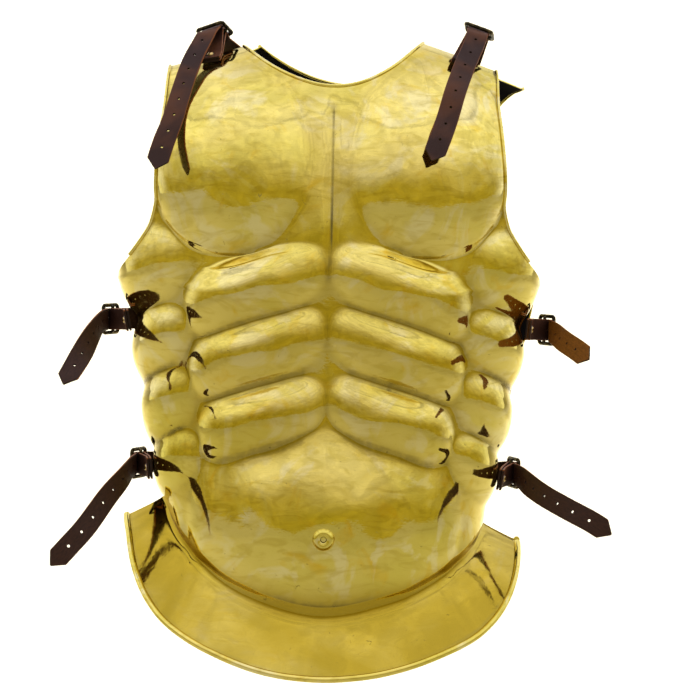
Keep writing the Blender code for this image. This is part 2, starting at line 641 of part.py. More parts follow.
class Strap:
    """One strap: chape and buckle on the breastplate, billet on the backplate."""

    def __init__(self, row, front, back):
        self.name, centre, along, up, self.front_rivet, self.back_rivet, tail, widths = row
        self.front = front
        self.back = back
        self.centre = Vector(centre) * MM
        self.along = Vector(along).normalized()
        self.width = Vector(up).cross(self.along).normalized()
        self.up = self.along.cross(self.width)
        self.tail = [Vector(p) * MM for p in tail]
        self.tail_widths = [Vector(w).normalized() for w in widths]

    def place(self, along, up, across=0.0):
        """Point at distances along, above and across the buckle's centre."""
        return self.centre + self.along * along + self.up * up + self.width * across

    def heading(self, start, end):
        """Angle above the along direction, in radians, of the way from start to end."""
        run = end - start
        return math.atan2(run.dot(self.up), run.dot(self.along))

    def beside(self, along, radius, heading):
        """Point where a strap with this heading passes under a bar, touching its circle."""
        turn = heading - 0.5 * math.pi
        return self.place(along + radius * math.cos(turn), radius * math.sin(turn))

    def seat(self, plate, where, lift):
        """Two points of a strap's end on a plate, beyond and before the rivet, and its width."""
        point, normal = plate.seat(where[0], where[1] * MM)
        toward = self.centre - point
        toward = (toward - normal * toward.dot(normal)).normalized()
        raised = point + normal * lift
        across = normal.cross(toward)
        if across.dot(self.width) < 0:
            across.negate()
        return raised - toward * SEAT_BEYOND, raised + toward * SEAT_BEFORE, across

    def build_billet(self):
        """Punched strap from the backplate, through the buckle, to the loose tail."""
        lift = SEAT_GAP + 0.5 * STRAP_THICKNESS
        end, start, across = self.seat(self.back, self.back_rivet, lift)
        half = 0.5 * FRAME_LENGTH
        layer = 0.5 * STRAP_THICKNESS + GAP + STRAP_PLAY
        over = -CENTRE_BAR_DROP + WIRE_RADIUS + GAP + STRAP_THICKNESS + layer
        rise = self.heading(start, self.place(-half, 0))
        fall = self.heading(self.place(0, over), self.tail[0])
        through = [self.beside(-half, ROLLER_RADIUS + layer, rise),
                   self.place(-0.5 * half, BILLET_RISE), self.place(0, over),
                   self.place(0.45 * half, BILLET_FALL),
                   self.beside(half, WIRE_RADIUS + layer, fall)]
        through.insert(0, through[0] + (start - through[0]).normalized() * BILLET_RUN)
        stations = [end, start] + through + self.tail
        widths = [across, across] + [self.width] * len(through)
        sign = 1 if self.tail_widths[0].dot(self.width) >= 0 else -1
        widths += [w * sign for w in self.tail_widths]
        points = spline(stations, TAIL_RINGS)
        rungs = spline(widths, TAIL_RINGS)
        tip = points[-1]
        while (tip - points[-2]).length < 1.5 * TIP_LENGTH:
            points.pop(-2)
            rungs.pop(-2)
        points.insert(-1, tip - (tip - points[-2]).normalized() * TIP_LENGTH)
        rungs.append(rungs[-1])
        shares = [1.0] * (len(points) - 1) + [TIP_SHARE]
        rings = ribbon_rings(points, rungs, shares, STRAP_THICKNESS)
        item = make_object("billet_" + self.name, skin("billet", rings), LEATHER)
        cut(item, self.slot())

    def build_chape(self):
        """Short strap folded round the centre bar, both ends under one rivet."""
        radius = WIRE_RADIUS + GAP + 0.5 * STRAP_THICKNESS
        low = SEAT_GAP + 0.5 * STRAP_THICKNESS
        high = low + STRAP_THICKNESS + LAYER_GAP
        end_low, start_low, across = self.seat(self.front, self.front_rivet, low)
        end_high, start_high, _ = self.seat(self.front, self.front_rivet, high)
        toward = (start_low - end_low).normalized()
        rise = toward.angle(self.place(0, -CENTRE_BAR_DROP) - start_low)
        start_high -= toward * (high - low) * math.tan(0.5 * rise)
        lean = self.heading(self.place(0, -CENTRE_BAR_DROP), start_low.lerp(start_high, 0.5))
        wrap = [self.place(radius * math.cos(lean + math.radians(turn)),
                           -CENTRE_BAR_DROP + radius * math.sin(lean + math.radians(turn)))
                for turn in WRAP_ANGLES]
        points = [end_low, start_low]
        widths = [across] * 2
        for share in CHAPE_SHARES:
            points.append(start_low.lerp(wrap[0], share))
            widths.append(across.lerp(self.width, share))
        points += wrap
        widths += [self.width] * len(wrap)
        for share in reversed(CHAPE_SHARES):
            points.append(start_high.lerp(wrap[-1], share))
            widths.append(across.lerp(self.width, share))
        points += [start_high, end_high]
        widths += [across] * 2
        rings = ribbon_rings(points, widths, [1.0] * len(points), STRAP_THICKNESS)
        item = make_object("chape_" + self.name, skin("chape", rings), LEATHER)
        cut(item, self.slot())

    def slot(self):
        """Cutter for the slot through which the prong passes."""
        corners = [[self.place(a, u, w) for u, w in
                    ((-SLOT_DEPTH, -0.5 * SLOT_WIDTH), (SLOT_DEPTH, -0.5 * SLOT_WIDTH),
                     (SLOT_DEPTH, 0.5 * SLOT_WIDTH), (-SLOT_DEPTH, 0.5 * SLOT_WIDTH))]
                   for a in SLOT_REACH]
        return skin("slot", corners)

    def build_frame(self):
        """Rectangular frame with a bar across its middle, cast in one piece."""
        half_a, half_w = 0.5 * FRAME_LENGTH, 0.5 * FRAME_WIDTH
        bevel = FRAME_CORNER
        corners = ((half_a, -half_w + bevel), (half_a, half_w - bevel),
                   (half_a - bevel, half_w), (-half_a + bevel, half_w),
                   (-half_a, half_w - bevel), (-half_a, -half_w + bevel),
                   (-half_a + bevel, -half_w), (half_a - bevel, -half_w))
        loop = [self.place(a, 0, w) for a, w in corners]
        item = make_object("buckle_" + self.name,
                           skin("buckle", tube_rings(loop, WIRE_RADIUS, 5, closed=True), closed=True),
                           BRONZE)
        drop, inside = -CENTRE_BAR_DROP, half_w - WIRE_RADIUS
        ends = [self.place(0, 0, half_w), self.place(0, drop, inside),
                self.place(0, drop, -inside), self.place(0, 0, -half_w)]
        bar = bpy.data.objects.new("bar", skin("bar", tube_rings(ends, 0.9 * WIRE_RADIUS, 5)))
        bpy.context.scene.collection.objects.link(bar)
        apply_boolean(item, bar, "UNION")

    def build_prong(self):
        """Tongue hooked round the centre bar, its tip resting on the roller."""
        radius = WIRE_RADIUS + GAP + PRONG_RADIUS
        hook = [self.place(radius * math.cos(math.radians(turn)),
                           -CENTRE_BAR_DROP + radius * math.sin(math.radians(turn)))
                for turn in HOOK_ANGLES]
        rest = ROLLER_RADIUS + GAP + PRONG_RADIUS
        half = 0.5 * FRAME_LENGTH
        points = hook + [self.place(-half, rest), self.place(-half - PRONG_REACH, rest - 0.6 * MM)]
        make_object("prong_" + self.name, skin("prong", tube_rings(points, PRONG_RADIUS, 4)), STEEL)

    def build_roller(self):
        """Loose steel tube on the roller bar."""
        centre = self.place(-0.5 * FRAME_LENGTH, 0, -0.5 * ROLLER_LENGTH)
        bore = WIRE_RADIUS + 1.7 * GAP
        profile = ((0, bore), (0, ROLLER_RADIUS), (ROLLER_LENGTH, ROLLER_RADIUS),
                   (ROLLER_LENGTH, bore))
        rings = turned_rings(centre, self.width, profile, 6)
        make_object("roller_" + self.name, skin("roller", rings, closed=True), STEEL)

    def build_rivets(self):
        """Domed rivet heads on the leather, over the front and the back seat."""
        doubled = 2 * STRAP_THICKNESS + LAYER_GAP
        for label, plate, where, leather in (("front", self.front, self.front_rivet, doubled),
                                             ("back", self.back, self.back_rivet, STRAP_THICKNESS)):
            point, normal = plate.seat(where[0], where[1] * MM)
            base = point + normal * (SEAT_GAP + leather + 2 * GAP)
            profile = ((0, RIVET_RADIUS), (0.5 * RIVET_HEIGHT, 0.85 * RIVET_RADIUS),
                       (RIVET_HEIGHT, 0.4 * RIVET_RADIUS))
            rings = turned_rings(base, normal, profile, 6)
            make_object("rivet_" + label + "_" + self.name, skin("rivet", rings), RIVET_BRASS)

    def build(self):
        """Build every piece of the strap."""
        self.build_billet()
        self.build_chape()
        self.build_frame()
        self.build_prong()
        self.build_roller()
        self.build_rivets()


def add_navel(breastplate, plate):
    """Fuse the raised ring of the navel to the breastplate."""
    point, normal = plate.seat(0.0, NAVEL_HEIGHT * MM)
    side = Vector((1, 0, 0))
    up = normal.cross(side).normalized()
    centres = [point + NAVEL_RADIUS * (side * math.cos(2 * math.pi * k / 16)
                                       + up * math.sin(2 * math.pi * k / 16)) for k in range(16)]
    rings = []
    for centre in centres:
        outward = (centre - point).normalized()
        rings.append([centre + NAVEL_WIRE * (outward * math.cos(turn)
                                             + 0.6 * normal * math.sin(turn))
                      for turn in (2 * math.pi * k / 6 for k in range(6))])
    ring = bpy.data.objects.new("ring", skin("ring", rings, closed=True))
    bpy.context.scene.collection.objects.link(ring)
    apply_boolean(breastplate, ring, "UNION")


def main():
    """Build the whole cuirass."""
    clear_scene()
    front = Plate(-1, FRONT_TOP, FRONT_LINES, FRONT_SKIRT_DROP, FRONT_MUSCLES, FRONT_COLUMNS,
                  FRONT_ARM_ROWS, FRONT_OFFSET)
    back = Plate(1, BACK_TOP, BACK_LINES, BACK_SKIRT_DROP, BACK_MUSCLES, BACK_COLUMNS,
                 BACK_ARM_ROWS, BACK_OFFSET)
    breastplate = front.build("breastplate")
    add_navel(breastplate, front)
    back.build("backplate")
    for row in STRAPS:
        Strap(row, front, back).build()


main()
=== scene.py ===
"""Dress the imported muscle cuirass: polished brass plates, punched leather straps, studio.

World frame: metres, +Z up, the front of the cuirass faces -Y and the wearer's left is +X.
Every piece rides on the one body of the part. The brass plates are raised again from their own
named sizes as fine sheets, so that the polished metal mirrors the straps and the room.
"""
import logging
import math
from dataclasses import dataclass, field
from enum import Enum

import bmesh
import bpy
import numpy as np
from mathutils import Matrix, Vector


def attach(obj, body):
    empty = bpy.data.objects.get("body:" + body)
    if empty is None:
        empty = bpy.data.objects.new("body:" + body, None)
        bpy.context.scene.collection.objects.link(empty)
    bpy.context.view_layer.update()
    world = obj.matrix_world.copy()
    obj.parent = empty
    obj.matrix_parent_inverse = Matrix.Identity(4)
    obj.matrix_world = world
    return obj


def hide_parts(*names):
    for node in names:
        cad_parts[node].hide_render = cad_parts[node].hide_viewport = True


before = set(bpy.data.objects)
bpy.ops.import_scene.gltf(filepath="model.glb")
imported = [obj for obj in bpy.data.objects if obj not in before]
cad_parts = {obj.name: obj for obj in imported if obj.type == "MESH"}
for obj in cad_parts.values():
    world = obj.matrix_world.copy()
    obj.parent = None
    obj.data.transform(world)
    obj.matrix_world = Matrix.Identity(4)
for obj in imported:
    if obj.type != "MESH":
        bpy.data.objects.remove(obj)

MM = 0.001
GAP = 0.3 * MM
WELD = 0.03 * MM
ROUND_SIDES = 12
SPLINE_STEPS = 8
BODY = "root"
LOG = logging.getLogger("cuirass")
Socket = bpy.types.NodeSocket
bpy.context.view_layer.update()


class Side(Enum):
    """Which half of the torso a plate covers, as the sign of its y."""

    FRONT = -1
    BACK = 1


class FleshTone(Enum):
    """How dark the flesh side of a strap is, as linear base colour: TAN is the leather's own flesh
    colour, DARK a darker copy of it as painted shade for flesh sides in shadow.
    """

    TAN = (0.215, 0.076, 0.006, 1.0)
    DARK = (0.042, 0.015, 0.007, 1.0)


# ---- node trees -----------------------------------------------------------------------------
@dataclass(frozen=True)
class Fade:
    """How a pattern shows: not at all up to low, then smoothly up to its full share at high."""

    low: float
    high: float
    share: float = 1.0


class NodeSketch:
    """Adds nodes to one tree and links them, so that a tree reads as a list of steps."""

    def __init__(self, tree: bpy.types.NodeTree) -> None:
        """Work on an existing shader or geometry tree."""
        self.tree = tree

    def add(self, kind: str, inputs: dict | None = None, **settings: object) -> bpy.types.Node:
        """Add one node.

        Args:
            kind: the node's type name.
            inputs: values or output sockets for its inputs, by name or index.
            settings: attributes to set on the node first.

        Returns:
            The new node.
        """
        node = self.tree.nodes.new(kind)
        for name, value in settings.items():
            setattr(node, name, value)
        for key, value in (inputs or {}).items():
            if isinstance(value, Socket):
                self.link(value, node, key)
            else:
                node.inputs[key].default_value = value
        return node

    def link(self, source: Socket, node: bpy.types.Node, key: str | int) -> None:
        """Link a socket to a node's input, by name or index."""
        self.tree.links.new(source, node.inputs[key])

    def math(self, operation: str, *values: object) -> Socket:
        """Add a Math node, for numbers or sockets, and return its result."""
        return self.add("ShaderNodeMath", dict(enumerate(values)), operation=operation).outputs[0]

    def times(self, first: object, second: object) -> Socket:
        """Multiply two numbers or sockets."""
        return self.math("MULTIPLY", first, second)

    def plus(self, first: object, second: object) -> Socket:
        """Add two numbers or sockets."""
        return self.math("ADD", first, second)

    def less(self, first: object, second: object) -> Socket:
        """Take the second number or socket from the first."""
        return self.math("SUBTRACT", first, second)

    def mix(self, factor: object, first: object, second: object) -> Socket:
        """Mix two colours or sockets: a factor of 0 gives the first, 1 the second."""
        node = self.add("ShaderNodeMix", data_type="RGBA")
        for index, value in ((0, factor), (6, first), (7, second)):
            if isinstance(value, Socket):
                self.link(value, node, index)
            else:
                node.inputs[index].default_value = value
        return node.outputs[2]

    def noise(self, where: Socket, scale: float, detail: float = 3.0,
              distortion: float = 0.0) -> Socket:
        """Read a noise texture, with its cells per metre, its octaves and its warping."""
        node = self.add("ShaderNodeTexNoise", {"Vector": where, "Scale": scale, "Detail": detail,
                                               "Distortion": distortion})
        return node.outputs["Fac"]

    def stretch(self, where: Socket, scale: tuple, turn: tuple = (0.0, 0.0, 0.0)) -> Socket:
        """Scale and turn coordinates, so that a pattern on them is drawn out."""
        node = self.add("ShaderNodeMapping", {"Vector": where, "Scale": scale, "Rotation": turn})
        return node.outputs[0]

    def ramp(self, value: object, low: float, high: float) -> Socket:
        """Rise smoothly from 0 at the low value to 1 at the high one."""
        node = self.add("ShaderNodeMapRange", {"Value": value, "From Min": low, "From Max": high},
                        interpolation_type="SMOOTHSTEP")
        return node.outputs["Result"]

    def fade(self, value: object, fade: Fade) -> Socket:
        """Read how strongly a pattern shows, by where it fades in and its full share."""
        strength = self.ramp(value, fade.low, fade.high)
        return strength if fade.share == 1.0 else self.times(strength, fade.share)

    def place(self) -> Socket:
        """Object coordinates."""
        return self.add("ShaderNodeTexCoord").outputs["Object"]

    def attribute(self, name: str, output: str = "Fac") -> Socket:
        """Read a named attribute of the mesh."""
        return self.add("ShaderNodeAttribute", attribute_name=name).outputs[output]

    def bump(self, height: Socket, strength: float, distance: float, **below: Socket) -> Socket:
        """Bend the normal by a height.

        Args:
            height: the height's socket.
            strength: how much of it counts.
            distance: metres that a height of 1 stands for.
            below: the normal to bend, as Normal, if it isn't the surface's own.

        Returns:
            The bent normal's socket.
        """
        node = self.add("ShaderNodeBump", {"Height": height, "Strength": strength,
                                           "Distance": distance, **below})
        return node.outputs["Normal"]

    def dress(self, geometry: Socket, material: Socket, target: bpy.types.Node
              ) -> bpy.types.NodeTree:
        """End a geometry tree: realize its instances, set their material, and return it."""
        whole = self.add("GeometryNodeRealizeInstances", {0: geometry})
        dressed = self.add("GeometryNodeSetMaterial", {"Geometry": whole.outputs[0],
                                                       "Material": material})
        self.link(dressed.outputs[0], target, 0)
        return self.tree


def new_material(name: str) -> tuple[bpy.types.Material, NodeSketch, bpy.types.Node]:
    """Make a material with one Principled shader.

    Args:
        name: the material's name.

    Returns:
        The material, a sketch of its tree, and the shader node.
    """
    material = bpy.data.materials.new(name)
    material.use_nodes = True
    sketch = NodeSketch(material.node_tree)
    return material, sketch, material.node_tree.nodes["Principled BSDF"]


# ---- finishes, whose noise patterns are (cells per metre, octaves, warping) -----------------
@dataclass(frozen=True)
class PolishedBrass:
    """Mirror-polished yellow brass with olive and pale strokes, amber stains and specks of dirt,
    and painted shade: a darker tint in hollows, cove and skirt that is partly tarnished brass, and
    dark lines and smears in the creases.
    """

    bright: tuple = (0.92, 0.77, 0.20, 1.0)
    olive: tuple = (0.80, 0.68, 0.12, 1.0)
    amber: tuple = (0.84, 0.59, 0.05, 1.0)
    # Darker tint of tarnished brass, used also as painted shade in the broad hollows, the cove
    # under the waist and on the skirt.
    tarnish: tuple = (0.500, 0.360, 0.030, 1.0)
    cream: tuple = (0.95, 0.86, 0.42, 1.0)
    dusky: tuple = (0.600, 0.470, 0.060, 1.0)
    patina: tuple = (0.340, 0.270, 0.060, 1.0)
    # Darkest colour: specks of dirt, and painted shade in the creases and beside the wired edges.
    grime_and_crease_shade: tuple = (0.060, 0.048, 0.022, 1.0)
    olive_fade: Fade = Fade(0.42, 0.68)
    amber_fade: Fade = Fade(0.56, 0.78)
    cream_fade: Fade = Fade(0.50, 0.62, 0.62)
    dusky_fade: Fade = Fade(0.46, 0.70, 0.48)
    patina_fade: Fade = Fade(0.38, 1.05, 0.75)
    line_fade: Fade = Fade(0.45, 0.90)
    line_smear: Fade = Fade(0.25, 0.50, 0.25)
    line_cloud: Fade = Fade(0.44, 0.60, 0.50)
    shaded_crease_cloud: Fade = Fade(0.50, 0.72)
    shaded_crease_fade: Fade = Fade(0.30, 0.60, 0.55)
    speck_fade: Fade = Fade(0.69, 0.75, 0.40)
    haze_fade: Fade = Fade(0.5, 0.8, 0.10)
    tarnish_and_shade_least: float = 0.4
    patina_least: float = 0.35
    line_least: float = 0.40
    line_dark: float = 0.72
    cloud: tuple = (9.0, 4.0, 0.6)
    stain: tuple = (26.0, 6.0, 1.5)
    pale: tuple = (13.0, 5.0, 2.4)
    smear: tuple = (42.0, 6.0, 2.0)
    speck: tuple = (240.0, 5.0, 0.8)
    stroke: tuple = (1.0, 5.0, 1.6)
    stroke_scale: tuple = (32.0, 32.0, 90.0)
    stroke_turn: tuple = (0.25, 0.40, 0.15)
    roughness: float = 0.07
    dark_roughness: float = 0.5
    broad: tuple = (26.0, 2.0, 0.6)
    small: tuple = (95.0, 3.0, 1.2)
    small_share: float = 0.24
    stroke_share: float = 0.12
    wrinkle: float = 0.17
    wrinkle_depth: float = 1.6 * MM
    scratch: tuple = (1.0, 2.0)
    scratch_scale: tuple = (60.0, 60.0, 900.0)
    scratch_turn: tuple = (0.3, 0.5, 0.2)
    scratch_strength: float = 0.05
    scratch_depth: float = 0.2 * MM

    def material(self, name: str) -> bpy.types.Material:
        """Build the finish from the sheet's marks for creases, crease lines, and tarnished brass
        with painted shade.
        """
        material, sketch, shader = new_material(name)
        place = sketch.place()
        crease = sketch.attribute("crease")
        cloud = sketch.noise(place, *self.cloud)
        smear = sketch.noise(place, *self.smear)
        stroke = sketch.noise(sketch.stretch(place, self.stroke_scale, self.stroke_turn),
                              *self.stroke)
        tone = sketch.mix(sketch.fade(cloud, self.olive_fade), self.bright, self.olive)
        for pattern, fade, colour in (
                (sketch.noise(place, *self.stain), self.amber_fade, self.amber),
                (sketch.noise(place, *self.pale), self.cream_fade, self.cream),
                (stroke, self.dusky_fade, self.dusky)):
            tone = sketch.mix(sketch.fade(pattern, fade), tone, colour)
        # Darker tint: tarnished brass, and painted shade in the hollows, the cove and the skirt.
        dull = sketch.times(sketch.attribute("tarnish"), sketch.plus(self.tarnish_and_shade_least, cloud))
        tone = sketch.mix(dull, tone, self.tarnish)
        depth = sketch.times(crease, sketch.plus(smear, self.patina_least))
        tone = sketch.mix(sketch.fade(depth, self.patina_fade), tone, self.patina)
        # Darkest colour: painted shade in the creases, and specks of dirt.
        dark = self.darkness(sketch, place, crease, cloud, smear)
        sketch.link(sketch.mix(dark, tone, self.grime_and_crease_shade), shader, "Base Color")
        rough = sketch.plus(sketch.times(dark, self.dark_roughness),
                            sketch.fade(smear, self.haze_fade))
        sketch.link(sketch.plus(rough, self.roughness), shader, "Roughness")
        shader.inputs["Metallic"].default_value = 1.0
        sketch.link(self.wrinkles(sketch, place, stroke), shader, "Normal")
        return material

    def darkness(self, sketch: NodeSketch, place: Socket, crease: Socket, cloud: Socket,
                 smear: Socket) -> Socket:
        """Work out the share of the darkest colour: painted shade as broken lines and smears in the
        creases, and specks of dirt.

        Args:
            sketch: the material's tree.
            place: object coordinates.
            crease: the "crease" attribute.
            cloud: the broad noise.
            smear: the fine noise.

        Returns:
            The share of the darkest colour, from 0 to 1.
        """
        # Painted shade: a dark line along each crease's bottom, broken up by noise.
        worn = sketch.plus(sketch.fade(smear, self.line_smear),
                           sketch.fade(cloud, self.line_cloud))
        broken = sketch.times(sketch.fade(sketch.attribute("line"), self.line_fade),
                              sketch.plus(self.line_least, worn))
        # Painted shade: dark smears in the deeper creases.
        shaded_crease = sketch.times(crease, sketch.fade(cloud, self.shaded_crease_cloud))
        shaded_crease = sketch.fade(sketch.times(shaded_crease, smear), self.shaded_crease_fade)
        dark = sketch.math("MAXIMUM", sketch.times(broken, self.line_dark), shaded_crease)
        speck = sketch.noise(place, *self.speck)
        return sketch.math("MAXIMUM", dark, sketch.fade(speck, self.speck_fade))

    def wrinkles(self, sketch: NodeSketch, place: Socket, stroke: Socket) -> Socket:
        """Ripple the sheet a little, with fine polishing scratches on top.

        Args:
            sketch: the material's tree.
            place: object coordinates.
            stroke: noise drawn out along the polishing strokes.

        Returns:
            The rippled normal's socket.
        """
        small = sketch.times(sketch.noise(place, *self.small), self.small_share)
        height = sketch.plus(sketch.noise(place, *self.broad), small)
        height = sketch.plus(height, sketch.times(stroke, self.stroke_share))
        ripple = sketch.bump(height, self.wrinkle, self.wrinkle_depth)
        along = sketch.stretch(place, self.scratch_scale, self.scratch_turn)
        return sketch.bump(sketch.noise(along, *self.scratch), self.scratch_strength,
                           self.scratch_depth, Normal=ripple)


@dataclass(frozen=True)
class StrapLeather:
    """Dark brown dyed leather with paler cut edges, a fibrous flesh side, a paler band along the
    long edges that is wear and painted highlight, and painted shade in the holes.
    """

    grain: tuple = (0.030, 0.011, 0.007, 1.0)
    worn: tuple = (0.135, 0.045, 0.014, 1.0)
    # Near-black painted shade on the walls of the punched holes.
    bore: tuple = (0.012, 0.005, 0.003, 1.0)
    cut: tuple = (0.260, 0.085, 0.022, 1.0)
    flesh: FleshTone = FleshTone.DARK
    thickness: float = 2.0 * MM
    width: float = 20.0 * MM
    cloud: tuple = (55.0, 5.0, 0.4)
    patch: tuple = (18.0, 3.0, 0.4)
    fuzz: tuple = (1.0, 4.0)
    fuzz_scale: tuple = (260.0, 900.0, 260.0)
    fuzz_fade: Fade = Fade(0.3, 0.75)
    fuzz_dark: float = 0.55
    patch_fade: Fade = Fade(0.42, 0.70)
    patch_least: float = 0.35
    patch_cloud: float = 0.6
    # Paler band along the long edges: wear, and a painted highlight where the edges catch the
    # light.
    edge_highlight_fade: Fade = Fade(0.35, 0.6)
    edge_highlight_start: float = 0.44
    core_height: float = 0.42
    core_share: float = 0.85
    border_start: float = 0.45
    roughness: float = 0.42
    cloud_roughness: float = 0.30
    specular: float = 0.24
    pores: float = 1500.0
    cloud_relief: float = 1.5
    relief: float = 0.35
    relief_depth: float = 0.3 * MM

    def material(self, name: str) -> bpy.types.Material:
        """Build the finish, which reads where each point lay "flat", before it was bent."""
        material, sketch, shader = new_material(name)
        flat = sketch.attribute("flat", "Vector")
        parts = sketch.add("ShaderNodeSeparateXYZ", {0: flat})
        across, up = sketch.math("ABSOLUTE", parts.outputs["Y"]), parts.outputs["Z"]
        cloud = sketch.noise(flat, *self.cloud)
        fuzz = sketch.noise(sketch.stretch(flat, self.fuzz_scale), *self.fuzz)
        patch = sketch.noise(flat, *self.patch)
        rub = sketch.times(sketch.fade(patch, self.patch_fade),
                           sketch.plus(self.patch_least, sketch.times(cloud, self.patch_cloud)))
        grain = sketch.mix(rub, self.grain, self.worn)
        # Paler band along the long edges: wear, and a painted highlight.
        edge = sketch.ramp(across, self.edge_highlight_start * self.width, 0.5 * self.width)
        grain = sketch.mix(sketch.times(edge, sketch.fade(cloud, self.edge_highlight_fade)), grain, self.worn)
        dark_flesh = tuple(self.fuzz_dark * c for c in self.flesh.value[:3]) + (1.0,)
        flesh = sketch.mix(sketch.fade(fuzz, self.fuzz_fade), self.flesh.value, dark_flesh)
        tone = sketch.mix(sketch.math("GREATER_THAN", up, 0.0), flesh, grain)
        # The long cut edges take the cut colour; the hole walls take the near-black painted shade.
        core = sketch.math("LESS_THAN", sketch.math("ABSOLUTE", up),
                           self.core_height * self.thickness)
        border = sketch.math("GREATER_THAN", across, self.border_start * self.width)
        tone = sketch.mix(sketch.times(core, self.core_share), tone,
                          sketch.mix(border, self.bore, self.cut))
        sketch.link(tone, shader, "Base Color")
        sketch.link(sketch.plus(self.roughness, sketch.times(cloud, self.cloud_roughness)),
                    shader, "Roughness")
        shader.inputs["Specular IOR Level"].default_value = self.specular
        pores = sketch.add("ShaderNodeTexVoronoi", {"Vector": flat, "Scale": self.pores})
        relief = sketch.plus(pores.outputs["Distance"], sketch.times(cloud, self.cloud_relief))
        sketch.link(sketch.bump(relief, self.relief, self.relief_depth), shader, "Normal")
        return material


@dataclass(frozen=True)
class CastMetal:
    """Plain metal of a fastening, rubbed bright where the noise is high."""

    base: tuple
    rubbed: tuple
    roughness: float
    wear: tuple = (160.0, 5.0, 0.5)
    wear_fade: Fade = Fade(0.45, 0.70)
    rubbed_gloss: float = 0.12
    relief: float = 0.25
    relief_depth: float = 0.3 * MM

    def material(self, name: str) -> bpy.types.Material:
        """Build the finish as a material with this name."""
        material, sketch, shader = new_material(name)
        wear = sketch.noise(sketch.place(), *self.wear)
        share = sketch.fade(wear, self.wear_fade)
        sketch.link(sketch.mix(share, self.base, self.rubbed), shader, "Base Color")
        sketch.link(sketch.less(self.roughness, sketch.times(share, self.rubbed_gloss)),
                    shader, "Roughness")
        shader.inputs["Metallic"].default_value = 1.0
        sketch.link(sketch.bump(wear, self.relief, self.relief_depth), shader, "Normal")
        return material


@dataclass(frozen=True)
class InnerShade:
    """Near-black finish on the inside of a plate: painted shade for its dark inside, with paler
    patches.
    """

    base: tuple = (0.005, 0.004, 0.004, 1.0)
    paler: tuple = (0.018, 0.014, 0.008, 1.0)
    cloud: tuple = (30.0, 5.0, 0.8)
    paler_fade: Fade = Fade(0.5, 0.8)
    roughness: float = 0.45
    cloud_roughness: float = 0.3
    specular: float = 0.20
    brush: tuple = (180.0, 3.0)
    relief: float = 0.2
    relief_depth: float = 0.4 * MM

    def material(self, name: str) -> bpy.types.Material:
        """Build the finish as a material with this name."""
        material, sketch, shader = new_material(name)
        place = sketch.place()
        cloud = sketch.noise(place, *self.cloud)
        sketch.link(sketch.mix(sketch.fade(cloud, self.paler_fade), self.base, self.paler),
                    shader, "Base Color")
        sketch.link(sketch.plus(self.roughness, sketch.times(cloud, self.cloud_roughness)),
                    shader, "Roughness")
        shader.inputs["Specular IOR Level"].default_value = self.specular
        brush = sketch.noise(place, *self.brush)
        sketch.link(sketch.bump(brush, self.relief, self.relief_depth), shader, "Normal")
        return material


BRONZE = CastMetal((0.030, 0.026, 0.017, 1.0), (0.150, 0.120, 0.060, 1.0), 0.42)
STEEL = CastMetal((0.30, 0.29, 0.27, 1.0), (0.62, 0.60, 0.57, 1.0), 0.32)
RIVET_BRASS = CastMetal((0.55, 0.36, 0.12, 1.0), (0.85, 0.65, 0.28, 1.0), 0.30)


# ---- meshes ---------------------------------------------------------------------------------
def new_item(name: str, data: bpy.types.ID) -> bpy.types.Object:
    """Link a new object, at the origin, for a mesh, a light or a camera."""
    item = bpy.data.objects.new(name, data)
    bpy.context.scene.collection.objects.link(item)
    return item


def mark(mesh: bpy.types.Mesh, label: str, values: object, kind: str = "FLOAT") -> None:
    """Store one value for each point as a named attribute.

    Args:
        mesh: the mesh.
        label: the attribute's name.
        values: all the values in one row, in the order of the points.
        kind: FLOAT, or FLOAT_VECTOR for three numbers a point.
    """
    key = "value" if kind == "FLOAT" else "vector"
    mesh.attributes.new(label, kind, "POINT").data.foreach_set(key, values)


def mesh_piece(name: str, points: list, faces: list) -> bpy.types.Object:
    """Link a smooth-shaded mesh object with its faces outwards.

    Args:
        name: the piece's name.
        points: vertex places.
        faces: vertex indices of each face.

    Returns:
        The new object, at the origin.
    """
    mesh = bpy.data.meshes.new(name)
    mesh.from_pydata([tuple(p) for p in points], [], faces)
    shape = bmesh.new()
    shape.from_mesh(mesh)
    bmesh.ops.recalc_face_normals(shape, faces=shape.faces)
    if shape.calc_volume(signed=True) < 0:
        bmesh.ops.reverse_faces(shape, faces=shape.faces)
    shape.to_mesh(mesh)
    shape.free()
    mesh.shade_smooth()
    return new_item(name, mesh)


def skin(rings: list, closed: bool = False) -> tuple[list, list]:
    """Skin rings of equal length.

    Args:
        rings: the rings, in order.
        closed: whether the last ring joins the first; otherwise both ends are capped.

    Returns:
        The points and the faces.
    """
    count, size = len(rings), len(rings[0])
    faces = []
    for i in range(count if closed else count - 1):
        a, b = i * size, ((i + 1) % count) * size
        faces += [(a + k, a + (k + 1) % size, b + (k + 1) % size, b + k) for k in range(size)]
    if not closed:
        faces += [tuple(range(size)), tuple(range((count - 1) * size, count * size))]
    return [p for ring in rings for p in ring], faces


def spokes(side: Vector, up: Vector, sides: int) -> list:
    """Unit vectors all the way round, in the plane of two square directions."""
    turns = [2 * math.pi * k / sides for k in range(sides)]
    return [side * math.cos(turn) + up * math.sin(turn) for turn in turns]


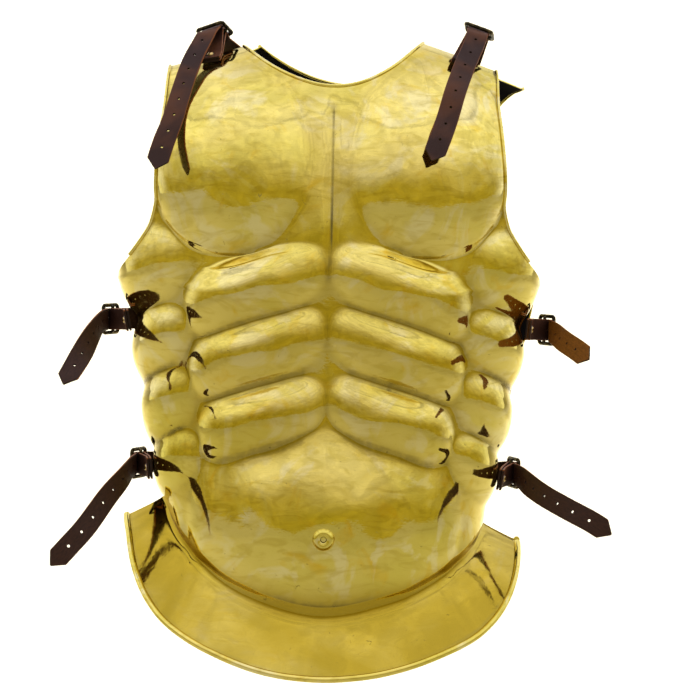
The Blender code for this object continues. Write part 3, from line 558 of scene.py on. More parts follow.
def tube_rings(points: list, radius: float | list, sides: int, closed: bool = False) -> list:
    """Round rings of a bar bent along the points.

    Args:
        points: the bar's middle line.
        radius: its radius, or one radius a point.
        sides: sides of a ring.
        closed: whether the bar is a loop.

    Returns:
        The rings.
    """
    count = len(points)
    radii = radius if isinstance(radius, list) else [radius] * count
    reference = Vector((0.31, 0.52, 0.79))
    rings = []
    for i, point in enumerate(points):
        before = points[(i - 1) % count] if closed else points[max(i - 1, 0)]
        after = points[(i + 1) % count] if closed else points[min(i + 1, count - 1)]
        run = (after - before).normalized()
        side = (reference - run * reference.dot(run)).normalized()
        reference = side
        rings.append([point + radii[i] * spoke for spoke in spokes(side, run.cross(side), sides)])
    return rings


def turned_rings(centre: Vector, axis: Vector, profile: tuple, sides: int) -> list:
    """Rings of a solid turned about an axis.

    Args:
        centre: where the axis starts.
        axis: its direction.
        profile: (distance along the axis, radius) pairs.
        sides: sides of a ring.

    Returns:
        The rings.
    """
    axis = axis.normalized()
    side = axis.orthogonal().normalized()
    ways = spokes(side, axis.cross(side), sides)
    return [[centre + axis * run + radius * way for way in ways] for run, radius in profile]


def spline(stations: list, steps: int) -> list:
    """Points of a Catmull-Rom curve through the stations.

    Args:
        stations: the vectors that it passes through.
        steps: points from one station to the next.

    Returns:
        The points, the stations among them.
    """
    ends = [2 * stations[0] - stations[1]] + stations + [2 * stations[-1] - stations[-2]]
    points = []
    for i in range(1, len(ends) - 2):
        p0, p1, p2, p3 = ends[i - 1:i + 3]
        for k in range(steps):
            f = k / steps
            points.append(0.5 * (2 * p1 + (p2 - p0) * f + (2 * p0 - 5 * p1 + 4 * p2 - p3) * f * f
                                 + (3 * p1 - p0 - 3 * p2 + p3) * f ** 3))
    points.append(ends[-2])
    return points


def finish_piece(item: bpy.types.Object, material: bpy.types.Material, slot: str,
                 *nodes: str) -> None:
    """Dress a piece, hide the CAD nodes that it replaces, and log it.

    Args:
        item: the finished mesh object.
        material: its finish.
        slot: not used.
        nodes: the CAD nodes that it replaces.
    """
    if not item.data.materials:
        item.data.materials.append(material)
    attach(item, BODY)
    if nodes:
        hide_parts(*nodes)
    LOG.info("%s: %d faces", item.name, len(item.data.polygons))


# ---- geometry-node trees --------------------------------------------------------------------
PUNCH_SIDES = 14
DOME_RINGS = 12
DOME_SHARE = 0.78


def geometry_tree(name: str, inputs: tuple) -> tuple[NodeSketch, bpy.types.Node, bpy.types.Node]:
    """Start a geometry tree with named inputs.

    Args:
        name: the tree's name.
        inputs: (name, socket type, default) rows, after the geometry input.

    Returns:
        The sketch, the group input node and the group output node.
    """
    tree = bpy.data.node_groups.new(name, "GeometryNodeTree")
    tree.interface.new_socket("Geometry", in_out="INPUT", socket_type="NodeSocketGeometry")
    for label, kind, default in inputs:
        socket = tree.interface.new_socket(label, in_out="INPUT", socket_type=kind)
        if default is not None:
            socket.default_value = default
    tree.interface.new_socket("Geometry", in_out="OUTPUT", socket_type="NodeSocketGeometry")
    sketch = NodeSketch(tree)
    return sketch, sketch.add("NodeGroupInput"), sketch.add("NodeGroupOutput")


def punch_tree() -> bpy.types.NodeTree:
    """Tree that punches a row of round holes through a flat strap.

    Returns:
        The tree, with the inputs First, Pitch, Count, Radius, Depth and Material.
    """
    sketch, source, target = geometry_tree("punch holes", (
        ("First", "NodeSocketFloat", 0.0), ("Pitch", "NodeSocketFloat", 0.019),
        ("Count", "NodeSocketInt", 1), ("Radius", "NodeSocketFloat", 0.0015),
        ("Depth", "NodeSocketFloat", 0.01), ("Material", "NodeSocketMaterial", None)))
    start = sketch.add("ShaderNodeCombineXYZ", {"X": source.outputs["First"]})
    step = sketch.add("ShaderNodeCombineXYZ", {"X": source.outputs["Pitch"]})
    row = sketch.add("GeometryNodeMeshLine", {"Count": source.outputs["Count"],
                                              "Start Location": start.outputs[0],
                                              "Offset": step.outputs[0]})
    tool = sketch.add("GeometryNodeMeshCylinder", {"Vertices": PUNCH_SIDES,
                                                   "Radius": source.outputs["Radius"],
                                                   "Depth": source.outputs["Depth"]})
    tools = sketch.add("GeometryNodeInstanceOnPoints", {"Points": row.outputs[0],
                                                        "Instance": tool.outputs["Mesh"]})
    solid = sketch.add("GeometryNodeRealizeInstances", {0: tools.outputs[0]})
    cut = sketch.add("GeometryNodeMeshBoolean", {"Self Intersection": True},
                     operation="DIFFERENCE", solver="EXACT")
    sketch.link(source.outputs["Geometry"], cut, "Mesh 1")
    sketch.link(solid.outputs[0], cut, "Mesh 2")
    welded = sketch.add("GeometryNodeMergeByDistance", {"Geometry": cut.outputs["Mesh"],
                                                        "Distance": WELD})
    return sketch.dress(welded.outputs[0], source.outputs["Material"], target)


def bead_tree() -> bpy.types.NodeTree:
    """Tree that runs a round wired bead along the edges of a mesh.

    Returns:
        The tree, with the inputs Sides and Material; it reads the "bead" radius of each point.
    """
    sketch, source, target = geometry_tree("wired bead", (
        ("Sides", "NodeSocketInt", 12), ("Material", "NodeSocketMaterial", None)))
    path = sketch.add("GeometryNodeMeshToCurve", {0: source.outputs["Geometry"]})
    radius = sketch.add("GeometryNodeInputNamedAttribute", {"Name": "bead"}, data_type="FLOAT")
    sized = sketch.add("GeometryNodeSetCurveRadius", {"Curve": path.outputs[0],
                                                      "Radius": radius.outputs[0]})
    ring = sketch.add("GeometryNodeCurvePrimitiveCircle", {"Resolution": source.outputs["Sides"],
                                                           "Radius": 1.0})
    tube = sketch.add("GeometryNodeCurveToMesh", {"Curve": sized.outputs[0],
                                                  "Profile Curve": ring.outputs[0],
                                                  "Fill Caps": True})
    if "Scale" in tube.inputs:
        sketch.link(radius.outputs[0], tube, "Scale")
    smooth = sketch.add("GeometryNodeSetShadeSmooth", {0: tube.outputs[0]})
    return sketch.dress(smooth.outputs[0], source.outputs["Material"], target)


def rivet_tree() -> bpy.types.NodeTree:
    """Tree that sets a domed rivet head with its washer on every point of a mesh.

    Returns:
        The tree, with the inputs Radius, Height, Washer, Sides, Dome Material and Washer
        Material; it reads the "facing" direction of each point.
    """
    sketch, source, target = geometry_tree("rivet heads", (
        ("Radius", "NodeSocketFloat", 0.003), ("Height", "NodeSocketFloat", 0.002),
        ("Washer", "NodeSocketFloat", 0.0005), ("Sides", "NodeSocketInt", 24),
        ("Dome Material", "NodeSocketMaterial", None),
        ("Washer Material", "NodeSocketMaterial", None)))
    facing = sketch.add("GeometryNodeInputNamedAttribute", {"Name": "facing"},
                        data_type="FLOAT_VECTOR")
    turn = sketch.add("FunctionNodeAlignRotationToVector", {"Vector": facing.outputs[0]},
                      axis="Z")
    plate = sketch.add("GeometryNodeMeshCylinder", {"Vertices": source.outputs["Sides"],
                                                    "Radius": source.outputs["Radius"],
                                                    "Depth": source.outputs["Washer"]})
    marked = sketch.add("GeometryNodeStoreNamedAttribute",
                        {"Geometry": plate.outputs["Mesh"], "Name": "washer", "Value": 1.0},
                        data_type="FLOAT", domain="FACE")
    ball = sketch.add("GeometryNodeMeshUVSphere", {"Segments": source.outputs["Sides"],
                                                   "Rings": DOME_RINGS, "Radius": 1.0})
    dome_radius = sketch.times(source.outputs["Radius"], DOME_SHARE)
    size = sketch.add("ShaderNodeCombineXYZ", {"X": dome_radius, "Y": dome_radius,
                                               "Z": source.outputs["Height"]})
    dome = sketch.add("GeometryNodeTransform", {"Geometry": ball.outputs["Mesh"],
                                                "Scale": size.outputs[0]})
    smooth = sketch.add("GeometryNodeSetShadeSmooth", {0: dome.outputs[0]})
    head = sketch.add("GeometryNodeJoinGeometry")
    sketch.link(marked.outputs[0], head, 0)
    sketch.link(smooth.outputs[0], head, 0)
    heads = sketch.add("GeometryNodeInstanceOnPoints", {"Points": source.outputs["Geometry"],
                                                        "Instance": head.outputs[0],
                                                        "Rotation": turn.outputs[0]})
    whole = sketch.add("GeometryNodeRealizeInstances", {0: heads.outputs[0]})
    gold = sketch.add("GeometryNodeSetMaterial", {"Geometry": whole.outputs[0],
                                                  "Material": source.outputs["Dome Material"]})
    washer = sketch.add("GeometryNodeInputNamedAttribute", {"Name": "washer"}, data_type="FLOAT")
    silver = sketch.add("GeometryNodeSetMaterial",
                        {"Geometry": gold.outputs[0], "Selection": washer.outputs[0],
                         "Material": source.outputs["Washer Material"]})
    sketch.link(silver.outputs[0], target, 0)
    return sketch.tree


def run_tree(item: bpy.types.Object, tree: bpy.types.NodeTree, values: dict) -> None:
    """Run a geometry tree on an object and keep the result as its plain mesh.

    Args:
        item: the object.
        tree: the geometry tree.
        values: its inputs by name.
    """
    modifier = item.modifiers.new(tree.name, "NODES")
    modifier.node_group = tree
    for entry in tree.interface.items_tree:
        if entry.item_type == "SOCKET" and entry.in_out == "INPUT" and entry.name in values:
            modifier[entry.identifier] = values[entry.name]
    bpy.context.view_layer.update()
    evaluated = item.evaluated_get(bpy.context.evaluated_depsgraph_get())
    mesh = bpy.data.meshes.new_from_object(evaluated)
    item.modifiers.clear()
    item.data = mesh


# ---- the plates -----------------------------------------------------------------------------
@dataclass(frozen=True)
class Muscle:
    """One raised muscle: where it lies round the torso, how large, and how high."""

    name: str
    angle: float
    height: float
    half_angle: float
    half_height: float
    slope: float
    raised: float
    squareness: float
    edge: float = 0.85


@dataclass(frozen=True)
class Pectoral:
    """The pectoral: crisp below, soft above."""

    angle: float = 29.5
    height: float = -108.0
    half_angle: float = 25.5
    below: float = 83.0
    above: float = 105.0
    raised: float = 19.0
    edge: float = 0.70
    softness: float = 1.5


@dataclass(frozen=True)
class Patch:
    """A soft patch that darkens the brass, in degrees and millimetres; a higher power makes it
    fuller.
    """

    height: float
    half_angle: float
    half_height: float
    power: int

    def strength(self, angles: np.ndarray, heights: np.ndarray) -> np.ndarray:
        """How strongly it shows, from 0 to 1, at angles in degrees and heights in metres."""
        return np.exp(-(angles / self.half_angle) ** self.power
                      - ((heights / MM - self.height) / self.half_height) ** self.power)


@dataclass(frozen=True)
class TopEdge:
    """Neck and shoulder line of a plate, in millimetres."""

    neck_low: float
    neck_half: float
    neck_top: float
    shoulder_half: float
    shoulder_end: float
    lean: float = 0.0
    scoop: float = 0.0
    slip: float = 0.0


@dataclass(frozen=True)
class GuideLine:
    """A row of the sheet's grid, as heights at quarters of the way to the side edge."""

    name: str
    rows: int
    heights: tuple


SECTIONS = (
    (15, 200, 74, 70), (-33, 200, 84, 84), (-70, 200, 97, 96), (-110, 200, 106, 104),
    (-150, 198, 110, 106), (-208, 193, 110, 102), (-249, 183, 108, 94), (-319, 172, 106, 82),
    (-369, 161, 108, 78), (-427, 151, 110, 80), (-470, 148, 110, 84), (-509, 146, 105, 86))

FRONT_MUSCLES = (
    Muscle("first abdominal", 22.8, -222.8, 22.2, 33, -0.95, 17, 2.8),
    Muscle("second abdominal", 23.1, -279.5, 22.6, 33, -0.87, 17, 2.8),
    Muscle("third abdominal", 22.9, -340.5, 22.4, 31, -0.80, 16, 2.8),
    Muscle("belly", 0.0, -432, 58.0, 82, 0.00, 15, 2.2, 1.0),
    Muscle("upper rib", 69.0, -205, 27.0, 40, -0.50, 10, 2.2, 1.0),
    Muscle("second rib", 69.0, -273, 27.0, 31, -0.65, 11, 2.2, 1.0),
    Muscle("third rib", 70.0, -334, 26.0, 31, -0.75, 10, 2.4),
    Muscle("flank", 70.0, -385, 26.0, 28, -0.60, 9, 2.4))
BACK_MUSCLES = (
    Muscle("shoulder blade", 30.0, -110, 28.0, 75, -0.60, 12, 2.2),
    Muscle("broad back", 45.0, -235, 60.0, 75, -0.40, 8, 2.2),
    Muscle("loin", 17.0, -365, 15.0, 85, 0.00, 9, 2.2))

FRONT_LINES = (
    GuideLine("pectoral crease", 8, (-140, -180, -191, -176, -149)),
    GuideLine("ribs", 4, (-185, -190, -203, -200, -190)),
    GuideLine("first crease", 4, (-236, -244, -260, -250, -247)),
    GuideLine("second crease", 4, (-293, -303, -316, -312, -314)),
    GuideLine("third crease", 4, (-352, -360, -372, -366, -370)),
    GuideLine("waist", 6, (-509, -503, -489, -461, -422)))
BACK_LINES = (
    GuideLine("arm pit", 9, (-208, -208, -208, -208, -208)),
    GuideLine("waist", 8, (-440, -439, -436, -431, -422)))

QUARTERS = (0.0, 0.25, 0.5, 0.75, 1.0)
DENT_WAVES = ((95, 61, 0.4), (-70, 118, 1.9), (150, 90, 3.1), (40, -170, 4.4), (-190, 55, 5.2))


def smooth_curve(xs: tuple, ys: tuple, where: np.ndarray) -> np.ndarray:
    """Read a smooth curve through points.

    Args:
        xs: rising places of the points.
        ys: their values.
        where: places to read.

    Returns:
        The values there.
    """
    xs, ys = np.asarray(xs, float), np.asarray(ys, float)
    slopes = np.gradient(ys, xs)
    where = np.clip(where, xs[0], xs[-1])
    cell = np.clip(np.searchsorted(xs, where) - 1, 0, len(xs) - 2)
    width = xs[cell + 1] - xs[cell]
    f = (where - xs[cell]) / width
    return ((1 + 2 * f) * (1 - f) ** 2 * ys[cell] + f * (1 - f) ** 2 * width * slopes[cell]
            + f * f * (3 - 2 * f) * ys[cell + 1] + f * f * (f - 1) * width * slopes[cell + 1])


def blur(grid: np.ndarray, rounds: int) -> np.ndarray:
    """Soften a grid of numbers.

    Args:
        grid: the numbers.
        rounds: how often each is averaged with its neighbours.

    Returns:
        The softened grid.
    """
    for _ in range(rounds):
        for axis in (0, 1):
            size = grid.shape[axis]
            before = np.take(grid, np.clip(np.arange(size) - 1, 0, None), axis)
            after = np.take(grid, np.clip(np.arange(size) + 1, None, size - 1), axis)
            grid = 0.5 * grid + 0.25 * (before + after)
    return grid


def normals_of(grid: np.ndarray, side: Side) -> np.ndarray:
    """Outward unit normals of a grid of points.

    Args:
        grid: rows of points from top to bottom.
        side: the half of the torso that it covers.

    Returns:
        One normal a point.
    """
    normal = np.cross(np.gradient(grid, axis=1), np.gradient(grid, axis=0)) * side.value
    return normal / np.maximum(np.linalg.norm(normal, axis=-1, keepdims=True), 1e-12)


@dataclass
class Plate:
    """One brass plate: a fine sheet over the torso with raised muscles and wired edges."""

    name: str
    node: str
    side: Side
    top: TopEdge
    lines: tuple
    skirt_drop: tuple
    muscles: tuple
    columns: tuple
    arm_rows: int
    finish: PolishedBrass
    # Painted shade: a near-black finish on the plate's inner face.
    inside_shade: InnerShade = InnerShade()
    fine: int = 6
    pectoral: Pectoral | None = None
    shift: float = 0.0
    sway: float = 0.0
    sway_length: float = 400 * MM
    inset: float = 0.0
    waist_tilt: float = 10 * MM
    sheet: float = 1.2 * MM
    skirt_rows: int = 3
    skirt_flare: tuple = (36, 37, 40, 42, 30)
    cove: float = 0.28
    cove_depth: float = 2.5 * MM
    bead: float = 1.6 * MM
    skirt_bead: float = 3.0 * MM
    arm_pit: float = -208 * MM
    flatness: float = 0.8
    side_edge: float = 88.0
    shoulder_round: float = 85 * MM
    shoulder_rise: float = 3 * MM
    inner_spread: float = 55.0
    outer_spread: int = 3
    neck_curve: float = 2.0
    arm_straightness: float = 5.5
    arm_lean: float = 0.1
    breast_line: float = 2.2
    breast_angle: float = 0.5
    breast_width: float = 0.9
    breast_mark: float = 0.6
    breast_ends: tuple = (-44.0, -205.0)
    breast_fades: tuple = (15.0, 30.0)
    crease_blend: float = 6.0
    soft_top: float = 0.3
    # Darker tint over the whole skirt: tarnished brass, and painted shade for its dimmer
    # reflection.
    skirt_tarnish_and_shade: float = 1.0
    # A darker tint over the middle of the belly, where the crease lines also fade.
    middle: Patch = Patch(-300.0, 52.0, 95.0, 4)
    middle_tint: float = 0.35
    middle_fade: float = 0.45
    # A dark smear at the top of the breast's groove, below the neck.
    throat: Patch = Patch(-52.0, 3.5, 9.0, 2)
    throat_dark: float = 0.7
    # Painted shade where the cove under the waist turns into the flare.
    lip_shade: float = 0.50
    # Painted shade: dark lines beside the wired edges, by rows and columns from the edge.
    edge_shade: tuple = (0.35, 0.75, 0.6, 0.2)
    crease_depth: float = 0.7 * MM
    # Depth at which the painted shade in a broad hollow is full.
    hollow_shade_depth: float = 4.0 * MM
    line_depth: float = 0.28 * MM
    raised_rounds: int = 3
    crease_rounds: int = 5
    hollow_shade_rounds: int = 50
    tarnish_and_shade_rounds: int = 2
    inside_marks: float = 0.4
    dent: float = 0.22 * MM
    sharp: float = 50.0
    seat_half: float = 13 * MM

    def section(self, height: np.ndarray, column: int) -> np.ndarray:
        """Half width (1) or depth (2 front, 3 back) of the torso at a height, in metres."""
        rows = SECTIONS[::-1]
        return MM * smooth_curve([r[0] for r in rows], [r[column] for r in rows], height / MM)

    def half_width(self, height: np.ndarray) -> np.ndarray:
        """Half width of the plate's torso at a height."""
        return self.section(height, 1) - self.inset

    def depth(self, height: np.ndarray) -> np.ndarray:
        """Depth of the plate's torso at a height, in the middle."""
        return self.section(height, 2 if self.side is Side.FRONT else 3)

    def edge_half_width(self, height: np.ndarray) -> np.ndarray:
        """Half width at the plate's side edge: the armhole, then the full section."""
        top = self.top
        start, half = top.shoulder_end * MM, top.shoulder_half * MM
        reach = np.clip((height - start) / (self.arm_pit - start), 0, 1)
        curve = self.arm_lean * reach + (1 - self.arm_lean) * reach ** self.arm_straightness
        scoop = MM * top.scoop * np.sin(math.pi * reach ** 0.6)
        return half + (self.half_width(np.array(self.arm_pit)) - half) * curve - scoop

    def side_angle(self, height: np.ndarray) -> np.ndarray:
        """Angle round the torso, in degrees, at which the plate's side edge lies."""
        ratio = np.clip(self.edge_half_width(height) / self.half_width(height), 0, 1)
        angle = np.degrees(np.arcsin(ratio))
        return np.where(height <= self.arm_pit, self.side_edge, np.minimum(angle, self.side_edge))

    def spread(self, share: np.ndarray, edge: np.ndarray) -> np.ndarray:
        """Angle at a signed share of the way to the side edge."""
        return self.inner_spread * share + (edge - self.inner_spread) * share ** self.outer_spread

    def shoulder_line(self, x: np.ndarray) -> np.ndarray:
        """Height of the straight line along the shoulder's edge."""
        top = self.top
        share = (np.abs(x) / MM - top.neck_half) / (top.shoulder_half - top.neck_half)
        lean = top.lean * x * np.clip(1 - share, 0, 1)
        return MM * (top.neck_top + (top.shoulder_end - top.neck_top) * share) - lean

    def top_height(self, x: np.ndarray) -> np.ndarray:
        """Height of the plate's top edge: the neck's curve, then the straight shoulder."""
        top = self.top
        half = MM * top.neck_half
        share = np.clip(np.abs(x) / half, 0, 1)
        reach = np.abs(x - MM * top.slip * (1 - share)) / half
        neck = MM * (top.neck_low + (top.neck_top - top.neck_low) * reach ** self.neck_curve)
        return np.where(share < 1, neck - top.lean * x, self.shoulder_line(x))

    def torso(self, angle: np.ndarray, height: np.ndarray) -> np.ndarray:
        """Points of the bare torso.

        Args:
            angle: degrees round the torso from the middle.
            height: heights in metres.

        Returns:
            The points, in metres.
        """
        turn = np.radians(angle)
        x = self.half_width(height) * np.sin(turn)
        below = self.shoulder_line(x) + self.shoulder_rise - height
        curl = np.sqrt(1 - (1 - np.clip(below / self.shoulder_round, 0, 1)) ** 2)
        y = self.side.value * self.depth(height) * np.cos(turn) ** self.flatness
        return np.stack([x, y * curl, height], axis=-1)

    def relief(self, angle: np.ndarray, height: np.ndarray) -> np.ndarray:
        """How far the muscles stand out from the torso.

        Args:
            angle: degrees round the torso from the middle.
            height: heights in metres.

        Returns:
            Distances in metres.
        """
        total = np.zeros_like(height)
        turn = np.abs(angle)
        for m in self.muscles:
            a = (turn - m.angle) / m.half_angle
            z = (height / MM - m.height - m.slope * (turn - m.angle)) / m.half_height
            power = np.abs(a) ** m.squareness + np.abs(z) ** m.squareness
            reach = np.clip(power, 0, 1) ** (2 / m.squareness)
            edge = m.edge + self.soft_top * np.clip(z, 0, 1)
            total += (m.raised * (1 - reach) ** edge) ** self.crease_blend
        if self.pectoral:
            total += self.pectoral_height(turn, height) ** self.crease_blend
        raised = total ** (1 / self.crease_blend)
        if self.pectoral:
            raised -= self.breast_line * self.breast_groove(angle, height, self.breast_width)
        return MM * raised

    def breast_groove(self, angle: np.ndarray, height: np.ndarray, width: float) -> np.ndarray:
        """How deep in the groove down the middle of the breast, from 0 to 1.

        Args:
            angle: degrees round the torso from the middle.
            height: heights in metres.
            width: the groove's width in degrees.

        Returns:
            The depths.
        """
        top, end = self.breast_ends
        fade_top, fade_end = self.breast_fades
        depth = np.clip((top - height / MM) / fade_top, 0, 1)
        depth = depth * np.clip((height / MM - end) / fade_end, 0, 1)
        return depth * np.exp(-((angle - self.breast_angle) / width) ** 2)

    def pectoral_height(self, turn: np.ndarray, height: np.ndarray) -> np.ndarray:
        """Height of the pectoral in millimetres, at angles without their sign."""
        p = self.pectoral
        drop = height / MM - p.height
        z = drop / np.where(drop < 0, p.below, p.above)
        a = (turn - p.angle) / p.half_angle
        reach = np.clip(a ** 2 + z ** 2, 0, 1)
        soft = np.maximum(np.clip(z, 0, 1), np.clip(-a, 0, 1) ** 2)
        power = p.edge + (p.softness - p.edge) * soft
        return p.raised * (1 - reach) ** power

    def column_stops(self) -> np.ndarray:
        """Signed shares of the way to the side edge, with a column at the neck's corner."""
        top = self.top
        peak, half = MM * top.neck_top, MM * top.neck_half
        corner_angle = math.degrees(math.asin(half / self.half_width(np.array(peak))))
        shares = np.linspace(0, 1, 400)
        edge = float(self.side_angle(np.array(MM * top.shoulder_end)))
        corner = float(np.interp(corner_angle, self.spread(shares, edge), shares))
        inner = np.linspace(0, corner, self.fine * self.columns[0] + 1)
        outer = np.linspace(corner, 1, self.fine * self.columns[1] + 1)[1:]
        stops = np.concatenate([inner, outer])
        return np.concatenate([-stops[:0:-1], stops])

    def top_line(self, across: np.ndarray) -> np.ndarray:
        """Heights of the top edge at the columns, found by substitution."""
        edge = float(self.side_angle(np.array(MM * self.top.shoulder_end)))
        height = np.zeros_like(across)
        for _ in range(8):
            x = self.half_width(height) * np.sin(np.radians(self.spread(across, edge)))
            height = self.top_height(x)
        return height

    def outer_grid(self) -> tuple[np.ndarray, dict]:
        """Points of the outer face, and the marks that darken it, most of them painted shade.

        Returns:
            Rows of points from top to bottom, and grids of numbers from 0 to 1 by name.
        """
        across = self.column_stops()
        share = np.abs(across)
        heights = [self.top_line(across)]
        for line in self.lines:
            start, rows = heights[-1], line.rows * self.fine
            end = MM * smooth_curve(QUARTERS, line.heights, share)
            if line.name == "waist":
                end = self.even_curve(line.heights, share) - self.waist_tilt * across ** 3
            heights += [start + (end - start) * (k + 1) / rows for k in range(rows)]
        heights = np.array(heights)
        edge = self.side_angle(heights[:, -1])[:, None]
        angles = self.spread(across[None, :], edge)
        raised = blur(self.relief(angles, heights), self.raised_rounds)
        body = self.torso(angles, heights)
        normal = normals_of(body, self.side)
        body += normal * (raised + self.dents(body))[..., None]
        skirt = self.skirt(body[-1], share)
        marks = self.wear(angles, heights, raised, len(skirt))
        return np.concatenate([body, skirt]), marks

    def wear(self, angles: np.ndarray, heights: np.ndarray, raised: np.ndarray,
             skirt_rows: int) -> dict:
        """Marks that darken the brass, most of them painted shade: how far a point lies in a
        crease, on its fine line, and in the darker tint of tarnished brass and shade.

        Args:
            angles: degrees round the torso, for each point of the body.
            heights: their heights in metres.
            raised: how far the muscles stand out there.
            skirt_rows: rows of the skirt below the body.

        Returns:
            Grids of numbers from 0 to 1 by name, for the body and the skirt.
        """
        # Depth in the creases between the muscles: it lays patina and painted shade there.
        crease = np.clip((blur(raised, self.crease_rounds) - raised) / self.crease_depth, 0, 1)
        # Painted shade in the broad hollows between the muscles.
        hollow_shade = np.clip((blur(raised, self.hollow_shade_rounds) - raised) / self.hollow_shade_depth, 0, 1)
        # Darker tint over the middle of the belly.
        middle = self.middle.strength(angles, heights)
        hollow_shade = np.maximum(hollow_shade, self.middle_tint * middle)
        # Painted shade: a fine dark line along the bottom of each crease, and down the breast's
        # groove.
        line = (blur(raised, 1) - raised) / self.line_depth * (1 - self.middle_fade * middle)
        if self.pectoral:
            line = np.maximum(line, self.breast_groove(angles, heights, self.breast_mark))
            # A dark smear at the top of the breast's groove.
            smear = self.throat_dark * self.throat.strength(angles, heights)
        else:
            smear = 0.0
        below = np.zeros((skirt_rows, heights.shape[1]))
        crease = np.concatenate([crease + smear, below])
        line = np.concatenate([np.clip(line, 0, 1), below])
        # Darker tint over the skirt and fully in the cove under the waist: painted shade, partly
        # tarnished brass.
        tarnish = np.concatenate([hollow_shade, below + self.skirt_tarnish_and_shade])
        lip = len(heights) + round(self.cove * skirt_rows)
        tarnish[len(heights) - 1:lip] = 1.0
        # Painted shade where the cove turns into the flare.
        crease[lip - 1:lip + 1] += self.lip_shade
        self.darken_edges(crease)
        return {"crease": np.clip(crease, 0, 1), "line": line,
                "tarnish": blur(tarnish, self.tarnish_and_shade_rounds)}

    def even_curve(self, values: tuple, share: np.ndarray) -> np.ndarray:
        """Read values at quarters of the way, with no kink in the middle, in metres."""
        return MM * smooth_curve([q * q for q in QUARTERS], values, share ** 2)

    def dents(self, body: np.ndarray) -> np.ndarray:
        """Slow unevenness of a sheet that was raised by hand."""
        x, z = body[..., 0], body[..., 2]
        total = np.zeros_like(x)
        for k, (kx, kz, phase) in enumerate(DENT_WAVES):
            total += np.sin(kx * x + kz * z + phase) / (1 + 0.5 * k)
        return self.dent * total

    def darken_edges(self, crease: np.ndarray) -> None:
        """Add painted shade, a dark line beside the wired edges, to a grid of creases."""
        arm = self.arm_rows * self.fine
        for k, amount in enumerate(self.edge_shade):
            crease[:arm, k] += amount
            crease[:arm, -1 - k] += amount
            crease[-1 - k, :] += amount
            crease[k, :] += 0.5 * amount

    def skirt(self, waist: np.ndarray, share: np.ndarray) -> np.ndarray:
        """Rows of the skirt, which flares from the waist to its lower edge.

        Args:
            waist: the body's last row of points.
            share: share of the way to the side edge, by column.

        Returns:
            The skirt's rows.
        """
        drop = self.even_curve(self.skirt_drop, share)
        flare = self.even_curve(self.skirt_flare, share)[:, None]
        out = waist * (1, 1, 0)
        out[:, 0] *= self.depth(waist[:, 2]) ** 2
        out[:, 1] *= self.half_width(waist[:, 2]) ** 2
        out /= np.linalg.norm(out, axis=1)[:, None]
        count = self.skirt_rows * self.fine * 2
        rows = []
        for k in range(count):
            fall = (k + 1) / count
            tuck, reach = self.skirt_profile(fall)
            rows.append(waist + out * (flare * reach - tuck) - np.outer(drop * fall, (0, 0, 1)))
        return np.array(rows)

    def skirt_profile(self, fall: float) -> tuple[float, float]:
        """Profile of the skirt at a share of its fall: a cove first, then the flare.

        Args:
            fall: share of the way from the waist to the lower edge.

        Returns:
            Depth of the cove in metres, and the share of the flare that is reached.
        """
        below = max(fall - self.cove, 0) / (1 - self.cove)
        return self.cove_depth * math.sin(math.pi * min(fall / self.cove, 1)), below ** 1.1

    def offset(self, height: np.ndarray) -> np.ndarray:
        """How far the plate lies to the wearer's left at a height: its top leans a little."""
        return self.shift + self.sway * np.clip(1 + height / self.sway_length, 0, 1) ** 2

    def outline(self, rows: int, columns: int) -> list:
        """Grid places round the sheet's edge, in order."""
        top = [(0, c) for c in range(columns)]
        right = [(r, columns - 1) for r in range(1, rows)]
        bottom = [(rows - 1, c) for c in range(columns - 2, -1, -1)]
        left = [(r, 0) for r in range(rows - 2, 0, -1)]
        return top + right + bottom + left

    def build(self) -> bpy.types.Object:
        """Raise the sheet as one closed solid, dress it, and wire its edges."""
        outer, marks = self.outer_grid()
        outer[..., 0] += self.offset(outer[..., 2])
        normal = normals_of(outer, self.side)
        inner = outer - normal * self.sheet
        rows, columns = outer.shape[:2]
        offset = rows * columns
        points = np.concatenate([outer.reshape(-1, 3), inner.reshape(-1, 3)])
        index = np.arange(offset).reshape(rows, columns)
        a, b, c, d = index[:-1, :-1], index[:-1, 1:], index[1:, 1:], index[1:, :-1]
        quads = np.stack([a, b, c, d], axis=-1).reshape(-1, 4)
        faces = [tuple(q) for q in quads] + [tuple(q[::-1] + offset) for q in quads]
        rim = [int(index[place]) for place in self.outline(rows, columns)]
        for k, first in enumerate(rim):
            second = rim[(k + 1) % len(rim)]
            faces.append((second, first, first + offset, second + offset))
        item = mesh_piece(self.name, points, faces)
        item.data.set_sharp_from_angle(angle=math.radians(self.sharp))
        for label, grid in marks.items():
            mark(item.data, label, np.concatenate([grid.ravel(),
                                                   self.inside_marks * grid.ravel()]))
        material = self.finish.material(self.name)
        item.data.materials.append(material)
        # The inner face takes the near-black painted shade.
        item.data.materials.append(self.inside_shade.material(self.name + "_inside"))
        slots = np.zeros(len(faces), np.int32)
        slots[len(quads):2 * len(quads)] = 1
        item.data.polygons.foreach_set("material_index", slots)
        finish_piece(item, material, "brass_sheet", self.node)
        self.wire_edges(outer, normal, material)
        return item

